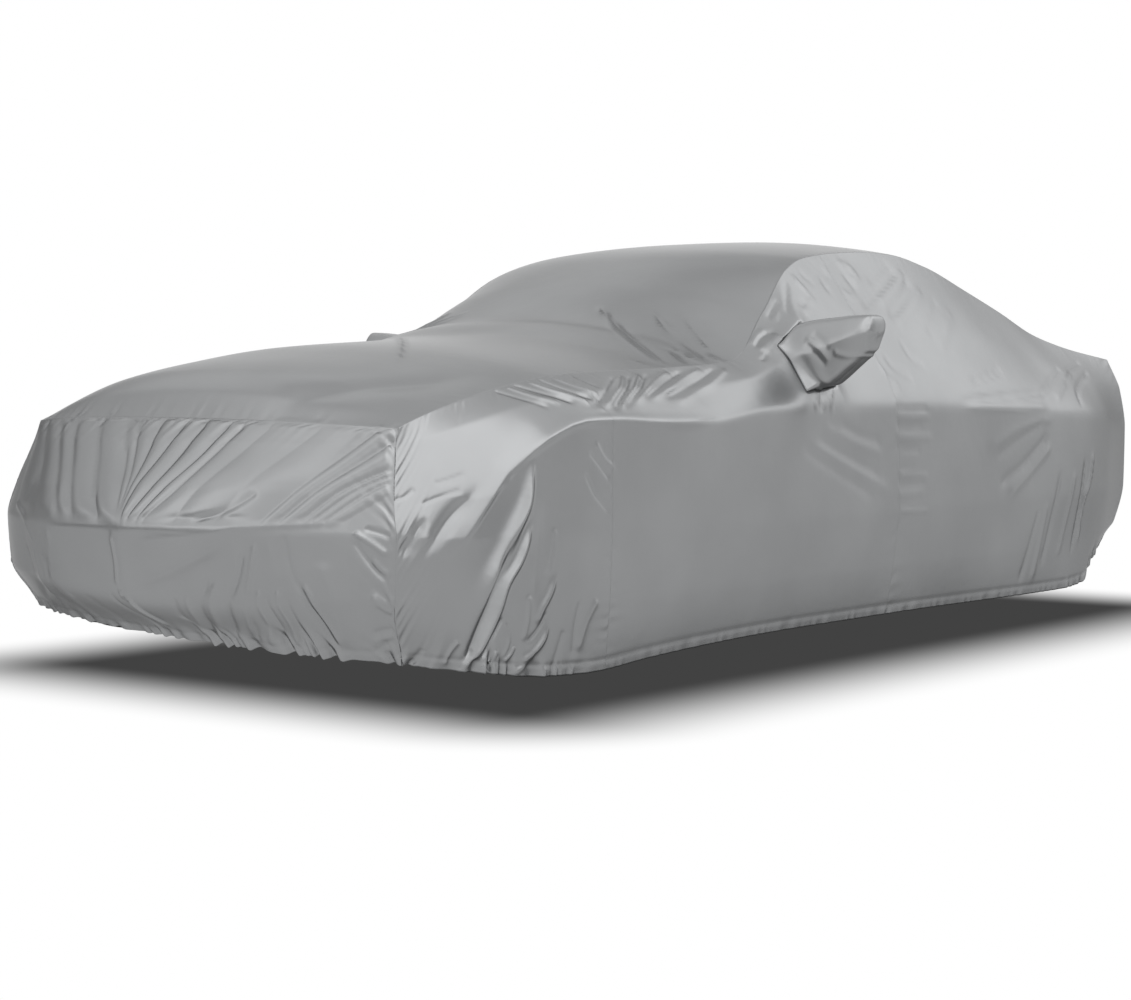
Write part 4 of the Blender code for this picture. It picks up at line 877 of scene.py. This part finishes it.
TAIL_SEAMS = (
    # edge, height, slant, reach, pitch of its gathers
    ("top", 0.0015, 0.0, 0.022, 0.034),
    ("first", 0.0020, 0.6, 0.040, 0.046),
    ("last", 0.0020, 0.6, 0.040, 0.046),
)
TAIL_HEM = ((-0.8, 0.005, 0.12), (0.8, 0.005, 0.12))  # x, height, reach above the hem
cloth = end_cloth(TAIL, STATIONS[-1], 1, np.linspace(-1, 1, 125), rows_of(14, 14))
cloth = folded(cloth, -1.0, (0, 2), TAIL_FOLDS, sewn)
more = seam_puckers(cloth, TAIL_SEAMS, 1.9) + hem_gathers(cloth, cloth[..., 0], TAIL_HEM, 0.8)
points = turned_in(raised(cloth, -1.0, more), -1.0, sewn, ("bottom",))
cover_piece("rear_panel", cloth_mesh("rear_panel", points, -1.0))

# Studio: a white paper floor that glows white by its own emission, with a soft grey shadow painted
# into that glow, a white surround with darker panels that the cloth's sheen picks up, one wide soft
# lamp high in front of the driver's side, and a camera a metre above the floor, off the near front corner.
FLOOR_HALF = 40.0  # half the side of the floor in metres
# The shadow painted on the floor: its middle, its half size and its fade.
PAINTED_SHADOW_MIDDLE = (-0.14, -0.29, 0.0)
PAINTED_SHADOW_HALF = (0.92, 1.92, 10.0)  # half its size in x and y, and more than the floor's depth in z
PAINTED_SHADOW_FADE = 0.78  # metres from the dark oblong out to the white of the floor


def floor_with_painted_shadow():
    """Paper that glows a full white by its own emission, with a painted soft grey shadow of what
    stands on it: dark within an oblong, and a smoothstep to white over the distance outside it."""
    paper = bpy.data.materials.new("paper_with_painted_shadow")
    paper.use_nodes = True
    tree = paper.node_tree
    surface = tree.nodes["Principled BSDF"]
    surface.inputs["Base Color"].default_value = (0.0, 0.0, 0.0, 1.0)
    surface.inputs["Specular IOR Level"].default_value = 0.0
    surface.inputs["Emission Strength"].default_value = 1.0
    at = add(tree, "ShaderNodeTexCoord").outputs["Object"]
    for operation, value in (("SUBTRACT", PAINTED_SHADOW_MIDDLE), ("ABSOLUTE", None), ("SUBTRACT", PAINTED_SHADOW_HALF),
                             ("MAXIMUM", (0.0, 0.0, 0.0))):
        values = {} if value is None else {1: value}
        at = add(tree, "ShaderNodeVectorMath", {"operation": operation}, values, {0: at}).outputs["Vector"]
    away = add(tree, "ShaderNodeVectorMath", {"operation": "LENGTH"}, {}, {0: at}).outputs["Value"]
    share = add(tree, "ShaderNodeMapRange", {"interpolation_type": "SMOOTHSTEP"}, {"From Max": PAINTED_SHADOW_FADE},
                {"Value": away}).outputs["Result"]
    # Painted shadow: a dark grey glow within the oblong, a white glow outside it.
    tone = add(tree, "ShaderNodeMix", {"data_type": "RGBA"}, {}, {"Factor": share})
    tone.inputs[6].default_value, tone.inputs[7].default_value = to_linear("#424242"), (1.0, 1.0, 1.0, 1.0)
    tree.links.new(tone.outputs[2], surface.inputs["Emission Color"])
    return paper


corners = [(x * FLOOR_HALF, y * FLOOR_HALF, -ROOF_TOP) for x, y in ((-1, -1), (1, -1), (1, 1), (-1, 1))]
floor_mesh = bpy.data.meshes.new("floor")
floor_mesh.from_pydata(corners, [], [(0, 1, 2, 3)])
floor_mesh.materials.append(floor_with_painted_shadow())
floor = bpy.data.objects.new("floor", floor_mesh)
bpy.context.scene.collection.objects.link(floor)

SKY_DOME = (0.17, 0.42, 0.968)  # z where the white horizon starts to fade and is down to the dome, radiance
SKY_CONES = (
    # direction, cosine to it where the light starts and where it is whole, radiance above the dome's
    ((-0.617, 0.787, 0.0), 0.915, 0.95, 1.0),
    ((0.0, 0.0, -1.0), 0.02, 0.10, 1.0),
)
SKY_BANDS = (
    # z where it starts, is whole, starts to fade, ends, then the radiance of equal sectors from azimuth 0
    (-0.90, -0.80, 0.10, 0.20, (0.76, 0.44, 1.49, 0.44, 0.58, 0.91, 0.28, 0.42, 1.22, 1.08)),
    (0.10, 0.20, 0.38, 0.50, (1.32, 0.62, 1.53, 0.83, 0.30, 0.32, 0.78, 0.75, 0.76, 0.88)),
    (0.38, 0.50, 0.68, 0.80, (1.09, 1.35, 1.30, 0.31, 0.88, 0.13, 0.00, 0.82, 0.18, 0.50)),
    (0.68, 0.80, 1.50, 1.60, (0.72, 0.17, 0.00, 0.41, 0.69)),
)
SECTOR_EDGE = 8.0  # half of the degrees over which one sector passes into the next

sky = bpy.data.worlds.new("white_sky")
sky.use_nodes = True
nodes = sky.node_tree


def ramp(value, start, end, low, high):
    """A smoothstep from low to high while the value goes from start to end."""
    values = {"From Min": start, "From Max": end, "To Min": low, "To Max": high}
    smoothstep = {"interpolation_type": "SMOOTHSTEP"}
    return add(nodes, "ShaderNodeMapRange", smoothstep, values, {"Value": value}).outputs["Result"]


def maths(operation, a, b):
    """The result of a calculation with two numbers, each an output or a constant."""
    links = {k: v for k, v in enumerate((a, b)) if not isinstance(v, float)}
    values = {k: v for k, v in enumerate((a, b)) if isinstance(v, float)}
    return add(nodes, "ShaderNodeMath", {"operation": operation}, values, links).outputs[0]


way = add(nodes, "ShaderNodeTexCoord").outputs["Generated"]
split = add(nodes, "ShaderNodeSeparateXYZ", {}, {}, {"Vector": way})
turn = maths("DIVIDE", maths("ARCTAN2", split.outputs["Y"], split.outputs["X"]), math.tau)
radiance = ramp(split.outputs["Z"], SKY_DOME[0], SKY_DOME[1], 0.0, SKY_DOME[2])
for direction, start, whole, strength in SKY_CONES:
    cosine = add(nodes, "ShaderNodeVectorMath", {"operation": "DOT_PRODUCT"}, {1: direction}, {0: way})
    radiance = maths("ADD", radiance, ramp(cosine.outputs["Value"], start, whole, 0.0, strength))
for start, whole, fade, end, sectors in SKY_BANDS:
    width = 360 / len(sectors)
    plateau = (width - 2 * SECTOR_EDGE) / 360
    place = maths("FRACT", maths("ADD", turn, plateau / 2), 0.0)
    band = add(nodes, "ShaderNodeValToRGB", {}, {}, {"Fac": place})
    band.color_ramp.interpolation = "EASE"
    stops = [(k / len(sectors) + shift, v) for k, v in enumerate(sectors) for shift in (0.0, plateau)]
    stops.append((1.0, sectors[0]))
    for k, (position, value) in enumerate(stops):
        stop = band.color_ramp.elements[k] if k < 2 else band.color_ramp.elements.new(position)
        stop.position, stop.color = position, (value / 2, value / 2, value / 2, 1.0)
    glow = maths("MULTIPLY", band.outputs["Color"], ramp(split.outputs["Z"], start, whole, 0.0, 2.0))
    glow = maths("MULTIPLY", glow, ramp(split.outputs["Z"], fade, end, 1.0, 0.0))
    radiance = maths("ADD", radiance, glow)
# Seen straight, past the edge of the floor, the studio is one plain white.
seen = add(nodes, "ShaderNodeLightPath").outputs["Is Camera Ray"]
radiance = maths("ADD", maths("MULTIPLY", radiance, maths("SUBTRACT", 1.0, seen)), seen)
nodes.nodes["Background"].inputs["Color"].default_value = (1.0, 1.0, 1.0, 1.0)
nodes.links.new(radiance, nodes.nodes["Background"].inputs["Strength"])
bpy.context.scene.world = sky


LAMP_PLACE = np.array((3.0, -2.5, 4.5))
LAMP_TARGET = np.array((0.0, -0.5, -0.6))
lamp = bpy.data.lights.new("overhead", "AREA")
lamp.shape, lamp.size, lamp.energy = "SQUARE", 4.0, 32.0
overhead = bpy.data.objects.new("overhead", lamp)
aim = LAMP_TARGET - LAMP_PLACE
overhead.location = LAMP_PLACE
overhead.rotation_euler = (math.acos(-aim[2] / np.linalg.norm(aim)), 0.0, math.atan2(-aim[0], aim[1]))
bpy.context.scene.collection.objects.link(overhead)

lens = bpy.data.cameras.new("camera")
lens.sensor_width, lens.lens, lens.clip_end = 36.0, 77.56, 200.0
camera = bpy.data.objects.new("camera", lens)
camera.location = (5.189, -7.627, -0.450)
camera.rotation_euler = (math.radians(90.0 - 3.199), 0.0, math.radians(38.075))
bpy.context.scene.collection.objects.link(camera)
bpy.context.scene.camera = camera
bpy.context.scene.view_settings.view_transform = "Standard"
